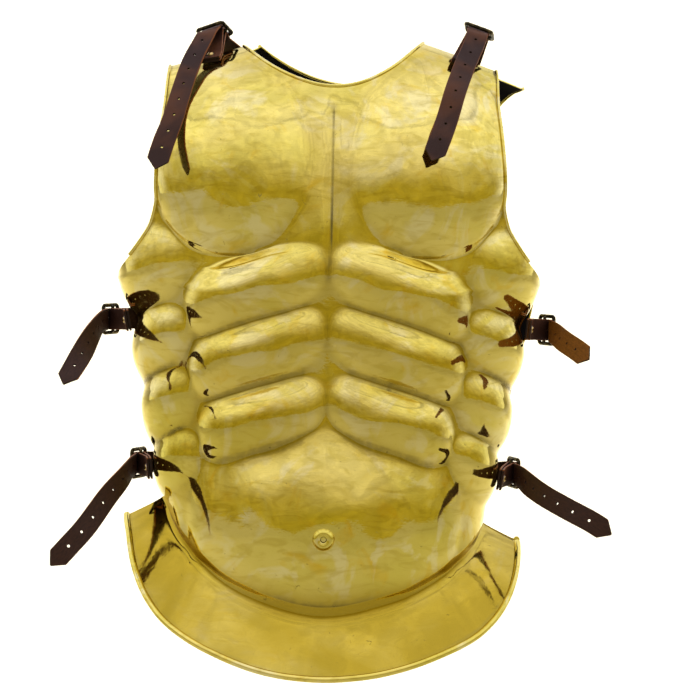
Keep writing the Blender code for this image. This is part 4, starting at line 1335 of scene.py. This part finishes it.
    def wire_edges(self, outer: np.ndarray, normal: np.ndarray,
                   material: bpy.types.Material) -> None:
        """Run the wired beads along the neck, the armholes and the skirt.

        Args:
            outer: points of the outer face.
            normal: its normals.
            material: the sheet's finish.
        """
        arm = self.arm_rows * self.fine
        corner = self.columns[1] * self.fine
        columns = outer.shape[1]
        inner_column = slice(corner, columns - corner)
        runs = ((outer[0, inner_column], normal[0, inner_column],
                 outer[1, inner_column], self.bead),
                (outer[:arm + 1, 0], normal[:arm + 1, 0], outer[:arm + 1, 1], self.bead),
                (outer[:arm + 1, -1], normal[:arm + 1, -1], outer[:arm + 1, -2], self.bead),
                (outer[-1], normal[-1], outer[-2], self.skirt_bead))
        points, edges, radii = [], [], []
        for edge, face, inside, radius in runs:
            outward = edge - inside
            outward -= face * np.einsum("ij,ij->i", outward, face)[:, None]
            outward /= np.linalg.norm(outward, axis=1)[:, None]
            path = edge + outward * 0.6 * radius + face * 0.35 * (radius - self.sheet)
            start = len(points)
            points += [tuple(p) for p in path]
            edges += [(start + k, start + k + 1) for k in range(len(path) - 1)]
            radii += [radius] * len(path)
        mesh = bpy.data.meshes.new(self.name + "_beads")
        mesh.from_pydata(points, edges, [])
        mark(mesh, "bead", radii)
        item = new_item(self.name + "_beads", mesh)
        run_tree(item, bead_tree(), {"Sides": ROUND_SIDES, "Material": material})
        finish_piece(item, material, "brass_sheet")

    def seat(self, angle: float, height: float) -> tuple[Vector, Vector]:
        """Point that clears the outer face under a flat strap end, and the face's normal.

        Args:
            angle: degrees round the torso.
            height: height in metres.

        Returns:
            The point and the normal.
        """
        reach = np.linspace(-self.seat_half, self.seat_half, 5)
        swing = np.degrees(reach / self.half_width(np.array(height)))
        angles, heights = np.meshgrid(np.clip(angle + swing, -self.side_edge, self.side_edge),
                                      height - reach)
        body = self.torso(angles, heights)
        body = body + normals_of(body, self.side) * self.relief(angles, heights)[..., None]
        normal = np.cross(body[-1, -1] - body[0, 0], body[0, -1] - body[-1, 0])
        normal *= np.sign(normal.dot(body[2, 2] * (1, 1, 0))) / np.linalg.norm(normal)
        proud = ((body - body[2, 2]) @ normal).max()
        point = body[2, 2] + normal * proud + (float(self.offset(np.array(height))), 0, 0)
        return Vector(point), Vector(normal)


@dataclass
class Navel:
    """Small boss with a pit, fused to the belly."""

    plate: Plate
    height: float = -447 * MM
    sides: int = 48
    pit: float = 2.7
    foot: tuple = (9.0, 11.0)
    profile: tuple = ((-4.0, 12.5), (-1.0, 10.5), (0.2, 9.4), (1.6, 8.4), (2.6, 7.2), (2.9, 6.0),
                      (2.6, 4.8), (2.3, 4.0), (2.2, 3.2), (1.6, 2.6), (0.0, 2.3), (-3.0, 2.1),
                      (-4.0, 0.4))

    def build(self, finish: PolishedBrass) -> None:
        """Turn the boss and dress it in the plate's brass."""
        point, normal = self.plate.seat(0.0, self.height)
        profile = [(along * MM, radius * MM) for along, radius in self.profile]
        item = mesh_piece("navel", *skin(turned_rings(point, normal, profile, self.sides)))
        # Painted shade in the navel's pit and round its foot, where it meets the belly.
        dark = [1.0 if radius < self.pit else 0.5 if self.foot[0] < radius < self.foot[1] else 0.1
                for _, radius in self.profile for _ in range(self.sides)]
        for label in ("crease", "line", "tarnish"):
            mark(item.data, label, dark)
        finish_piece(item, finish.material("navel"), "brass_sheet")


# ---- straps and buckles ---------------------------------------------------------------------
@dataclass(frozen=True)
class Supplies:
    """What every strap is made on and with: plates, geometry trees and finishes."""

    front: Plate
    back: Plate
    punching: bpy.types.NodeTree
    heads: bpy.types.NodeTree
    leathers: dict
    bronze: bpy.types.Material
    steel: bpy.types.Material
    dome: bpy.types.Material


@dataclass
class Ribbon:
    """The bent middle line of a strap, with its width direction along it."""

    points: list
    widths: list
    frames: list = field(default_factory=list)
    lengths: list = field(default_factory=list)

    def __post_init__(self) -> None:
        """Measure the line and square its directions."""
        last = len(self.points) - 1
        total = 0.0
        for i, point in enumerate(self.points):
            if i:
                total += (point - self.points[i - 1]).length
            run = (self.points[min(i + 1, last)] - self.points[max(i - 1, 0)]).normalized()
            side = (self.widths[i] - run * self.widths[i].dot(run)).normalized()
            self.frames.append((side, run.cross(side)))
            self.lengths.append(total)

    @property
    def length(self) -> float:
        """Length of the line."""
        return self.lengths[-1]

    def nearest(self, place: Vector) -> float:
        """Distance along the line at which it passes closest to a place."""
        best = min(range(len(self.points)), key=lambda i: (self.points[i] - place).length)
        return self.lengths[best]

    def bend(self, mesh: bpy.types.Mesh) -> None:
        """Bend a flat blank along the line, and keep its flat places as an attribute.

        Args:
            mesh: the blank, which lies along X with its width along Y.
        """
        count = len(mesh.vertices)
        flat = np.zeros(count * 3, np.float32)
        mesh.vertices.foreach_get("co", flat)
        mark(mesh, "flat", flat, "FLOAT_VECTOR")
        flat = flat.reshape(-1, 3)
        line = np.array([tuple(p) for p in self.points])
        side = np.array([tuple(f[0]) for f in self.frames])
        face = np.array([tuple(f[1]) for f in self.frames])
        placed = np.stack([np.interp(flat[:, 0], self.lengths, line[:, k])
                           + flat[:, 1] * np.interp(flat[:, 0], self.lengths, side[:, k])
                           + flat[:, 2] * np.interp(flat[:, 0], self.lengths, face[:, k])
                           for k in range(3)], axis=-1)
        mesh.vertices.foreach_set("co", placed.astype(np.float32).ravel())
        mesh.update()


@dataclass
class Strap:
    """One strap with its buckle: chape on the breastplate, billet on the backplate."""

    name: str
    centre: tuple
    along: tuple
    up: tuple
    front_rivet: tuple
    back_rivet: tuple
    tail: tuple
    tail_widths: tuple
    # Most straps take the flesh colour darkened as painted shade.
    flesh: FleshTone = FleshTone.DARK
    width_m: float = 20 * MM
    thickness: float = 2.0 * MM
    wire: float = 1.8 * MM
    frame_length: float = 25 * MM
    frame_width: float = 26 * MM
    frame_corner: float = 3 * MM
    bar_drop: float = 2.5 * MM
    roller_radius: float = 3.0 * MM
    roller_length: float = 19 * MM
    roller_soft: float = 0.3 * MM
    prong_radius: float = 1.1 * MM
    prong_beyond: float = 3 * MM
    prong_dip: float = 0.6 * MM
    play: float = 0.5 * MM
    straight: float = 10 * MM
    rise: float = 0.2 * MM
    fall: float = 1.6 * MM
    seat_gap: float = 1.0 * MM
    seat_beyond: float = 8 * MM
    seat_before: float = 6 * MM
    layer_gap: float = 0.8 * MM
    tip: float = 10 * MM
    tip_share: float = 0.08
    chape_rounds: int = 5
    sharp: float = 30.0
    roller_sharp: float = 40.0
    hole_radius: float = 1.35 * MM
    hole_pitch: float = 19 * MM
    last_hole: float = 24 * MM
    slot_radius: float = 1.9 * MM
    prong_slot: tuple = (5, 1.2 * MM)
    bar_slot: tuple = (7, 1.5 * MM)
    bevel: float = 0.35 * MM
    blank_step: float = 1.4 * MM
    chape_step: float = 1.5 * MM
    rivet_radius: float = 3.8 * MM
    rivet_height: float = 2.0 * MM
    washer: float = 0.5 * MM

    def __post_init__(self) -> None:
        """Set up the buckle's own directions."""
        self.origin = Vector(self.centre) * MM
        self.run = Vector(self.along).normalized()
        self.across = Vector(self.up).cross(self.run).normalized()
        self.out = self.run.cross(self.across)

    def place(self, along: float, up: float, across: float = 0.0) -> Vector:
        """Point at distances along, above and across the buckle's centre."""
        return self.origin + self.run * along + self.out * up + self.across * across

    def round_bar(self, radius: float, turn: float) -> Vector:
        """Point at a radius from the centre bar, at an angle from the run in radians."""
        return self.place(radius * math.cos(turn), -self.bar_drop + radius * math.sin(turn))

    def heading(self, start: Vector, end: Vector) -> float:
        """Angle above the buckle's run, in radians, of the way from start to end."""
        step = end - start
        return math.atan2(step.dot(self.out), step.dot(self.run))

    def beside(self, along: float, radius: float, heading: float) -> Vector:
        """Point where a strap with this heading passes under a bar."""
        turn = heading - 0.5 * math.pi
        return self.place(along + radius * math.cos(turn), radius * math.sin(turn))

    def seat(self, plate: Plate, where: tuple, lift: float) -> tuple[Vector, Vector, Vector]:
        """Two points of a strap's end on a plate, and its width direction.

        Args:
            plate: the plate that it is riveted to.
            where: the rivet's angle in degrees and height in millimetres.
            lift: height of the strap's middle over the plate.

        Returns:
            The point beyond the rivet, the point before it, and the width direction.
        """
        point, normal = plate.seat(where[0], where[1] * MM)
        toward = self.origin - point
        toward = (toward - normal * toward.dot(normal)).normalized()
        raised = point + normal * lift
        across = normal.cross(toward)
        if across.dot(self.across) < 0:
            across.negate()
        return raised - toward * self.seat_beyond, raised + toward * self.seat_before, across

    def billet_line(self, back: Plate) -> Ribbon:
        """Middle line of the long strap, from the backplate through the buckle to its tip."""
        end, start, across = self.seat(back, self.back_rivet, self.seat_gap + 0.5 * self.thickness)
        half = 0.5 * self.frame_length
        layer = 0.5 * self.thickness + GAP + self.play
        over = -self.bar_drop + self.wire + GAP + self.thickness + layer
        rise = self.heading(start, self.place(-half, 0))
        fall = self.heading(self.place(0, over), Vector(self.tail[0]) * MM)
        through = [self.beside(-half, self.roller_radius + layer, rise),
                   self.place(-0.5 * half, self.rise), self.place(0, over),
                   self.place(0.45 * half, self.fall),
                   self.beside(half, self.wire + layer, fall)]
        through.insert(0, through[0] + (start - through[0]).normalized() * self.straight)
        stations = [end, start] + through + [Vector(p) * MM for p in self.tail]
        widths = [across, across] + [self.across] * len(through)
        first = Vector(self.tail_widths[0])
        sign = 1 if first.dot(self.across) >= 0 else -1
        widths += [Vector(w).normalized() * sign for w in self.tail_widths]
        return Ribbon(spline(stations, SPLINE_STEPS), spline(widths, SPLINE_STEPS))

    def chape_line(self, front: Plate) -> Ribbon:
        """Middle line of the short doubled strap, folded round the centre bar."""
        radius = self.wire + GAP + 0.5 * self.thickness
        low = self.seat_gap + 0.5 * self.thickness
        high = low + self.thickness + self.layer_gap
        end_low, start_low, across = self.seat(front, self.front_rivet, low)
        end_high, start_high, _ = self.seat(front, self.front_rivet, high)
        bar = self.place(0, -self.bar_drop)
        toward = (start_low - end_low).normalized()
        start_high -= toward * (high - low) * math.tan(0.5 * toward.angle(bar - start_low))
        lean = self.heading(bar, start_low.lerp(start_high, 0.5))
        wrap = [self.round_bar(radius, lean + math.radians(turn))
                for turn in (-90, -112, -135, -157, 180, 157, 135, 112, 90)]
        points, widths = [], []
        low_run = [(end_low, across), (start_low, across), (wrap[0], self.across)]
        high_run = [(wrap[-1], self.across), (start_high, across), (end_high, across)]
        for corners in (low_run, high_run):
            leg, turns = [], []
            for (p, w), (q, v) in zip(corners, corners[1:]):
                steps = max(int((q - p).length / self.chape_step), 2)
                leg += [p.lerp(q, k / steps) for k in range(steps)]
                turns += [w.lerp(v, k / steps) for k in range(steps)]
            leg.append(corners[-1][0])
            turns.append(corners[-1][1])
            for _ in range(self.chape_rounds):
                leg = ([leg[0]] + [0.5 * b + 0.25 * (a + c) for a, b, c in
                                   zip(leg, leg[1:], leg[2:])] + [leg[-1]])
            points += leg
            widths += turns
            if corners is low_run:
                points += wrap[1:-1]
                widths += [self.across] * (len(wrap) - 2)
        return Ribbon(points, widths)

    def blank(self, name: str, length: float, pointed: bool) -> bpy.types.Object:
        """Cut a flat strap blank with bevelled edges.

        Args:
            name: the piece's name.
            length: its length.
            pointed: whether its far end is cut to a point.

        Returns:
            The blank, along X from 0 to its length.
        """
        half_w, half_t, chamfer = 0.5 * self.width_m, 0.5 * self.thickness, self.bevel
        count = int(length / self.blank_step)
        stops = [length * k / count for k in range(count + 1)]
        columns = (-0.75, -0.5, -0.25, 0.0, 0.25, 0.5, 0.75)
        rings = []
        for s in stops:
            near = min((length - s) / self.tip, 1.0) if pointed else 1.0
            w = half_w * (self.tip_share + (1 - self.tip_share) * near)
            side = max(w - chamfer, 0.6 * w)
            ring = [(-w, -half_t + chamfer), (-w, half_t - chamfer), (-side, half_t)]
            ring += [(side * c, half_t) for c in columns]
            ring += [(side, half_t), (w, half_t - chamfer), (w, -half_t + chamfer),
                     (side, -half_t)]
            ring += [(side * c, -half_t) for c in reversed(columns)]
            ring.append((-side, -half_t))
            rings.append([Vector((s, v, t)) for v, t in ring])
        item = mesh_piece(name, *skin(rings))
        item.data.set_sharp_from_angle(angle=math.radians(self.sharp))
        return item

    def punch(self, item: bpy.types.Object, supplies: Supplies, first: float, pitch: float,
              count: int, radius: float) -> None:
        """Punch a row of holes in a flat blank.

        Args:
            item: the blank.
            supplies: the punching tree and the leather.
            first: place of the first hole along the blank.
            pitch: distance from hole to hole.
            count: number of holes.
            radius: their radius.
        """
        run_tree(item, supplies.punching, {
            "First": first, "Pitch": pitch, "Count": count, "Radius": radius,
            "Depth": 6 * self.thickness, "Material": supplies.leathers[self.flesh]})

    def cut_slot(self, item: bpy.types.Object, supplies: Supplies, middle: float,
                 slot: tuple) -> None:
        """Cut a slot about a place along a flat blank, as a row of overlapping holes."""
        count, pitch = slot
        first = middle - 0.5 * (count - 1) * pitch
        self.punch(item, supplies, first, pitch, count, self.slot_radius)

    def build(self, supplies: Supplies) -> None:
        """Make the strap and its buckle."""
        self.build_billet(supplies)
        self.build_chape(supplies)
        self.build_frame(supplies.bronze)
        self.build_prong(supplies.steel)
        self.build_roller(supplies.steel)
        self.build_rivets(supplies)

    def build_billet(self, supplies: Supplies) -> None:
        """Cut, punch and bend the long strap."""
        line = self.billet_line(supplies.back)
        item = self.blank("billet_leather_" + self.name, line.length, True)
        prong = line.nearest(self.place(-0.33 * 0.5 * self.frame_length, 1.4 * MM))
        span = line.length - self.last_hole - prong
        count = max(round(span / self.hole_pitch), 1)
        self.cut_slot(item, supplies, prong, self.prong_slot)
        self.punch(item, supplies, prong + span / count, span / count, count, self.hole_radius)
        line.bend(item.data)
        finish_piece(item, supplies.leathers[self.flesh], "strap_leather", "billet_" + self.name)

    def build_chape(self, supplies: Supplies) -> None:
        """Cut, slot and fold the short strap."""
        line = self.chape_line(supplies.front)
        item = self.blank("chape_leather_" + self.name, line.length, False)
        middle = line.nearest(self.place(-self.wire - 0.5 * self.thickness, -self.bar_drop))
        self.cut_slot(item, supplies, middle, self.bar_slot)
        line.bend(item.data)
        finish_piece(item, supplies.leathers[self.flesh], "strap_leather", "chape_" + self.name)

    def build_frame(self, bronze: bpy.types.Material) -> None:
        """Cast the buckle's frame with its cranked centre bar."""
        half_a, half_w, corner = (0.5 * self.frame_length, 0.5 * self.frame_width,
                                  self.frame_corner)
        loop = []
        for sa, sw, start in ((1, 1, 0), (-1, 1, 90), (-1, -1, 180), (1, -1, 270)):
            for turn in range(start, start + 91, 15):
                loop.append(self.place(
                    sa * (half_a - corner) + corner * math.cos(math.radians(turn)), 0,
                    sw * (half_w - corner) + corner * math.sin(math.radians(turn))))
        points, faces = skin(tube_rings(loop, self.wire, ROUND_SIDES, closed=True), closed=True)
        drop, inside = -self.bar_drop, half_w - self.wire
        corners = [self.place(0, 0, half_w), self.place(0, drop, inside),
                   self.place(0, drop, -inside), self.place(0, 0, -half_w)]
        bar, bar_faces = skin(tube_rings(corners, 0.9 * self.wire, ROUND_SIDES))
        faces += [tuple(i + len(points) for i in face) for face in bar_faces]
        item = mesh_piece("buckle_frame_" + self.name, points + bar, faces)
        finish_piece(item, bronze, "buckle_bronze", "buckle_" + self.name)

    def build_prong(self, steel: bpy.types.Material) -> None:
        """Bend the prong round the centre bar, its tip on the roller."""
        radius = self.wire + GAP + self.prong_radius
        hook = [self.round_bar(radius, math.radians(turn)) for turn in range(-70, 111, 20)]
        rest = self.roller_radius + GAP + self.prong_radius
        half = 0.5 * self.frame_length
        points = hook + [hook[-1].lerp(self.place(-half, rest), 0.5), self.place(-half, rest),
                         self.place(-half - self.prong_beyond, rest - self.prong_dip)]
        radii = [self.prong_radius] * (len(points) - 2) + [0.95 * self.prong_radius,
                                                           0.5 * self.prong_radius]
        item = mesh_piece("prong_steel_" + self.name,
                          *skin(tube_rings(points, radii, ROUND_SIDES)))
        finish_piece(item, steel, "steel", "prong_" + self.name)

    def build_roller(self, steel: bpy.types.Material) -> None:
        """Turn the loose roller."""
        centre = self.place(-0.5 * self.frame_length, 0, -0.5 * self.roller_length)
        bore, outer, length = self.wire + 1.2 * GAP, self.roller_radius, self.roller_length
        soft = self.roller_soft
        profile = ((0, bore), (0, outer - soft), (soft, outer), (length - soft, outer),
                   (length, outer - soft), (length, bore))
        rings = turned_rings(centre, self.across, profile, 2 * ROUND_SIDES)
        item = mesh_piece("roller_steel_" + self.name, *skin(rings, closed=True))
        item.data.set_sharp_from_angle(angle=math.radians(self.roller_sharp))
        finish_piece(item, steel, "steel", "roller_" + self.name)

    def build_rivets(self, supplies: Supplies) -> None:
        """Set the two rivet heads on the leather."""
        doubled = 2 * self.thickness + self.layer_gap
        points, facing = [], []
        for plate, where, leather in ((supplies.front, self.front_rivet, doubled),
                                      (supplies.back, self.back_rivet, self.thickness)):
            point, normal = plate.seat(where[0], where[1] * MM)
            points.append(tuple(point + normal * (self.seat_gap + leather + GAP)))
            facing += list(normal)
        mesh = bpy.data.meshes.new("rivets_" + self.name)
        mesh.from_pydata(points, [], [])
        mark(mesh, "facing", facing, "FLOAT_VECTOR")
        item = new_item("rivets_" + self.name, mesh)
        run_tree(item, supplies.heads, {
            "Radius": self.rivet_radius, "Height": self.rivet_height, "Washer": self.washer,
            "Sides": 2 * ROUND_SIDES, "Dome Material": supplies.dome,
            "Washer Material": supplies.steel})
        finish_piece(item, supplies.dome, "rivet_brass", "rivet_front_" + self.name,
                     "rivet_back_" + self.name)


STRAPS = (
    Strap("shoulder_left", (138, -3, 29), (-0.10, -0.97, 0.16), (0.36, 0.14, 0.92),
          (36.7, -7), (34.0, -13),
          ((135, -26, 24), (131, -38, 11), (122, -61, -11), (113, -88, -37),
           (106, -104, -62), (99, -120, -83), (91, -133, -104)),
          ((0.95, -0.15, -0.27), (0.95, -0.12, -0.28), (0.93, -0.15, -0.33),
           (0.93, -0.15, -0.33), (0.94, -0.12, -0.31), (0.94, -0.08, -0.33),
           (0.93, 0.0, -0.36))),
    Strap("shoulder_right", (-113, -4, 24), (-0.35, -0.88, 0.30), (-0.20, 0.30, 0.92),
          (-34.5, -7), (-31.0, -6),
          ((-119, -23, 21), (-123, -30, 12), (-131, -45, -8), (-138, -67, -35),
           (-145, -90, -67), (-152, -105, -90), (-158, -120, -115)),
          ((0.92, -0.36, 0.10), (0.86, -0.48, -0.15), (0.78, -0.52, -0.35),
           (0.80, -0.50, -0.33), (0.90, -0.30, -0.31), (0.95, -0.10, -0.30),
           (0.96, 0.0, -0.28))),
    Strap("upper_side_left", (207, -2, -253), (0.45, -0.89, -0.05), (0.89, 0.45, 0.0),
          (80.0, -252), (80.0, -252),
          ((213, -30, -257), (219, -60, -264), (229, -86, -272), (238, -104, -280)),
          ((0.30, 0.10, 0.95), (0.42, 0.10, 0.90), (0.48, 0.05, 0.87), (0.52, 0.0, 0.85)),
          FleshTone.TAN),
    Strap("upper_side_right", (-207, -2, -250), (-0.45, -0.89, -0.05), (-0.89, 0.45, 0.0),
          (-80.0, -249), (-77.0, -247),
          ((-213, -34, -254), (-218, -68, -267), (-226, -100, -288), (-237, -122, -311)),
          ((-0.10, -0.10, 0.98), (-0.40, 0.05, 0.90), (-0.62, 0.40, 0.66),
           (-0.62, 0.60, 0.50))),
    Strap("lower_side_left", (178, -1, -389), (0.32, -0.95, -0.05), (0.95, 0.32, 0.0),
          (79.0, -391), (80.0, -391),
          ((183, -32, -392), (191, -58, -399), (203, -80, -407), (222, -100, -417),
           (242, -112, -427), (260, -118, -438)),
          ((0.15, 0.05, 0.98), (0.40, 0.05, 0.90), (0.48, 0.0, 0.87), (0.49, 0.0, 0.87),
           (0.49, 0.0, 0.87), (0.49, 0.0, 0.87))),
    Strap("lower_side_right", (-178, -1, -386), (-0.42, -0.90, -0.05), (-0.90, 0.42, 0.0),
          (-79.0, -387), (-78.0, -386),
          ((-182, -33, -389), (-187, -62, -398), (-199, -84, -414), (-216, -104, -440),
           (-231, -114, -458), (-246, -120, -475)),
          ((-0.05, -0.10, 0.99), (-0.30, -0.30, 0.90), (-0.60, -0.30, 0.72),
           (-0.74, -0.10, 0.66), (-0.74, 0.0, 0.67), (-0.73, 0.0, 0.68))))


# ---- the studio -----------------------------------------------------------------------------
@dataclass(frozen=True)
class SoftBox:
    """One soft area light: it lights the scene but isn't mirrored in the brass."""

    name: str
    place: tuple
    size: tuple
    power: float
    aim: tuple = (0.0, 0.0, -0.3)


@dataclass
class Studio:
    """Pale floor and backdrop, a room of creased cloth, soft light and the camera."""

    target: tuple = (0.0208, 0.0, -0.2755)
    distance: float = 2.4
    roll: float = 1.05
    lens: float = 129.9
    floor: float = -0.95
    reach: float = 4.5
    paper: tuple = (0.47, 0.44, 0.345, 1.0)
    walls: tuple = (0.94, 0.92, 0.96, 1.0)
    front: tuple = (0.82, 0.77, 0.86, 1.0)
    low: tuple = (0.37, 0.30, 0.06, 1.0)
    roof: tuple = (0.93, 0.90, 1.00, 1.0)
    front_fade: Fade = Fade(0.42, 0.97)
    low_rise: Fade = Fade(0.04, 0.66)
    low_ahead: Fade = Fade(-0.55, 0.15)
    roof_fade: Fade = Fade(0.66, 0.84)
    seam_start: Fade = Fade(0.77, 0.785)
    seam_end: Fade = Fade(0.80, 0.825)
    seam_dark: float = 0.30
    sag: float = 0.10
    cloth: tuple = (3.0, 7.0, 2.2)
    cloth_share: float = 0.75
    cell_scale: float = 7.0
    cell_edge: Fade = Fade(0.0, 0.05)
    cell_share: float = 0.13
    pull: float = 0.25
    drape: tuple = (1.3, 6.0, 0.8)
    drape_scale: tuple = (2.2, 2.2, 9.0)
    drape_turn: tuple = (0.5, 0.6, 0.0)
    drape_edge: Fade = Fade(0.0, 0.09)
    drape_share: float = 0.18
    boxes: tuple = (
        SoftBox("left box", (-2.2, -1.6, 0.9), (1.6, 2.0), 8.0),
        SoftBox("right box", (2.2, -1.4, 0.9), (1.6, 2.0), 8.0),
        SoftBox("backdrop box", (0.0, 2.6, 2.2), (5.0, 0.8), 400.0, (0.0, 4.6, -0.6)))

    def build(self) -> None:
        """Set up the whole studio."""
        bpy.context.scene.view_settings.view_transform = "Standard"
        self.build_paper()
        self.build_world()
        for box in self.boxes:
            self.build_light(box)
        self.build_camera()

    def build_paper(self) -> None:
        """Roll out the floor, which curves up into the backdrop."""
        sweep, back = 1.2, self.reach
        profile = [(-6.0, 0.0), (back - sweep, 0.0)]
        profile += [(back - sweep + sweep * math.sin(math.radians(t)),
                     sweep - sweep * math.cos(math.radians(t))) for t in range(6, 91, 6)]
        profile.append((back, 2.1))
        points = [(x, y, self.floor + z) for y, z in profile for x in (-9.0, 9.0)]
        faces = [(2 * k, 2 * k + 1, 2 * k + 3, 2 * k + 2) for k in range(len(profile) - 1)]
        mesh = bpy.data.meshes.new("studio_paper")
        mesh.from_pydata(points, [], faces)
        mesh.shade_smooth()
        item = new_item("studio_paper", mesh)
        material, _, shader = new_material("studio_paper")
        shader.inputs["Base Color"].default_value = self.paper
        shader.inputs["Roughness"].default_value = 0.9
        shader.inputs["Specular IOR Level"].default_value = 0.1
        mesh.materials.append(material)

    def build_world(self) -> None:
        """Surround the scene with a tent of creased white cloth, dimmer towards the camera."""
        world = bpy.data.worlds.new("room")
        world.use_nodes = True
        world.node_tree.nodes.clear()
        sketch = NodeSketch(world.node_tree)
        way = sketch.add("ShaderNodeTexCoord").outputs["Generated"]
        parts = sketch.add("ShaderNodeSeparateXYZ", {0: way})
        ahead = sketch.times(parts.outputs["Y"], -1.0)
        rise = sketch.plus(parts.outputs["Z"],
                           sketch.times(sketch.noise(way, 2.0, 2.0), self.sag))
        tone = sketch.mix(sketch.fade(ahead, self.front_fade), self.walls, self.front)
        dusk = sketch.times(sketch.less(1.0, sketch.fade(rise, self.low_rise)),
                            sketch.fade(ahead, self.low_ahead))
        tone = sketch.mix(dusk, tone, self.low)
        tone = sketch.mix(sketch.fade(rise, self.roof_fade), tone, self.roof)
        seam = sketch.less(sketch.fade(rise, self.seam_start), sketch.fade(rise, self.seam_end))
        level = sketch.less(sketch.plus(1.0, self.folds(sketch, way)),
                            sketch.times(seam, self.seam_dark))
        sky = sketch.add("ShaderNodeBackground", {"Color": tone, "Strength": level})
        target = sketch.add("ShaderNodeOutputWorld")
        sketch.link(sky.outputs[0], target, 0)
        bpy.context.scene.world = world

    def folds(self, sketch: NodeSketch, way: Socket) -> Socket:
        """How much brighter or darker the cloth is in its folds, its creases and its drape.

        Args:
            sketch: the room's tree.
            way: the direction that is looked in.

        Returns:
            The change of brightness, about 0.
        """
        cloth = sketch.noise(way, *self.cloth)
        folds = sketch.times(sketch.less(cloth, 0.5), self.cloth_share)
        bend = sketch.add("ShaderNodeTexNoise", {"Vector": way, "Scale": 4.0, "Detail": 3.0})
        drawn = sketch.add("ShaderNodeVectorMath", {0: bend.outputs["Color"], 1: (self.pull,) * 3},
                           operation="MULTIPLY")
        moved = sketch.add("ShaderNodeVectorMath", {0: way, 1: drawn.outputs[0]},
                           operation="ADD").outputs[0]
        cells = sketch.add("ShaderNodeTexVoronoi", {"Vector": moved, "Scale": self.cell_scale},
                           feature="DISTANCE_TO_EDGE").outputs["Distance"]
        crease = sketch.less(1.0, sketch.fade(cells, self.cell_edge))
        folds = sketch.plus(folds, sketch.times(crease, self.cell_share))
        drape = sketch.noise(sketch.stretch(moved, self.drape_scale, self.drape_turn), *self.drape)
        streak = sketch.math("ABSOLUTE", sketch.less(drape, 0.5))
        streak = sketch.less(1.0, sketch.fade(streak, self.drape_edge))
        return sketch.plus(folds, sketch.times(streak, self.drape_share))

    def build_light(self, box: SoftBox) -> None:
        """Hang one soft box."""
        data = bpy.data.lights.new(box.name, "AREA")
        data.shape = "RECTANGLE"
        data.size, data.size_y = box.size
        data.energy = box.power
        item = new_item(box.name, data)
        item.location = box.place
        aim = Vector(box.aim) - Vector(box.place)
        item.rotation_euler = aim.to_track_quat("-Z", "Y").to_euler()
        item.visible_glossy = False

    def build_camera(self) -> None:
        """Set the camera level with the middle of the cuirass, rolled a little."""
        data = bpy.data.cameras.new("camera")
        data.lens = self.lens
        data.sensor_width = 36.0
        data.clip_end = 50.0
        item = new_item("camera", data)
        x, y, z = self.target
        item.location = (x, y - self.distance, z)
        item.rotation_euler = (math.radians(90.0), math.radians(-self.roll), 0.0)
        bpy.context.scene.camera = item


def main() -> None:
    """Build the cuirass piece by piece, then the studio round it."""
    logging.basicConfig(level=logging.INFO, format="%(name)s: %(message)s")
    brass = PolishedBrass()
    front = Plate(
        "breastplate_sheet", "breastplate", Side.FRONT,
        TopEdge(neck_low=-34.5, neck_half=84.5, neck_top=12, shoulder_half=153,
                shoulder_end=-10, lean=-0.035, slip=6),
        FRONT_LINES, skirt_drop=(60, 62, 61, 57.5, 22), muscles=FRONT_MUSCLES, columns=(6, 9),
        arm_rows=12, finish=brass, pectoral=Pectoral())
    back = Plate(
        "backplate_sheet", "backplate", Side.BACK,
        TopEdge(neck_low=-17.5, neck_half=90, neck_top=10.5, shoulder_half=163,
                shoulder_end=-23, lean=0.03, scoop=34),
        BACK_LINES, skirt_drop=(44, 43, 39, 32, 21), muscles=BACK_MUSCLES, columns=(4, 5),
        arm_rows=9, finish=brass, fine=8, shift=8 * MM, sway=11 * MM, inset=7 * MM)
    front.build()
    Navel(front).build(brass)
    back.build()
    # Two leathers: one with tan flesh, one with the flesh darkened as painted shade.
    leathers = {tone: StrapLeather(flesh=tone).material("strap_leather_" + tone.name.lower())
                for tone in FleshTone}
    supplies = Supplies(front, back, punch_tree(), rivet_tree(), leathers,
                        BRONZE.material("dark_bronze"), STEEL.material("worn_steel"),
                        RIVET_BRASS.material("rivet_dome"))
    for strap in STRAPS:
        strap.build(supplies)
    Studio().build()


if __name__ == "__main__":
    main()
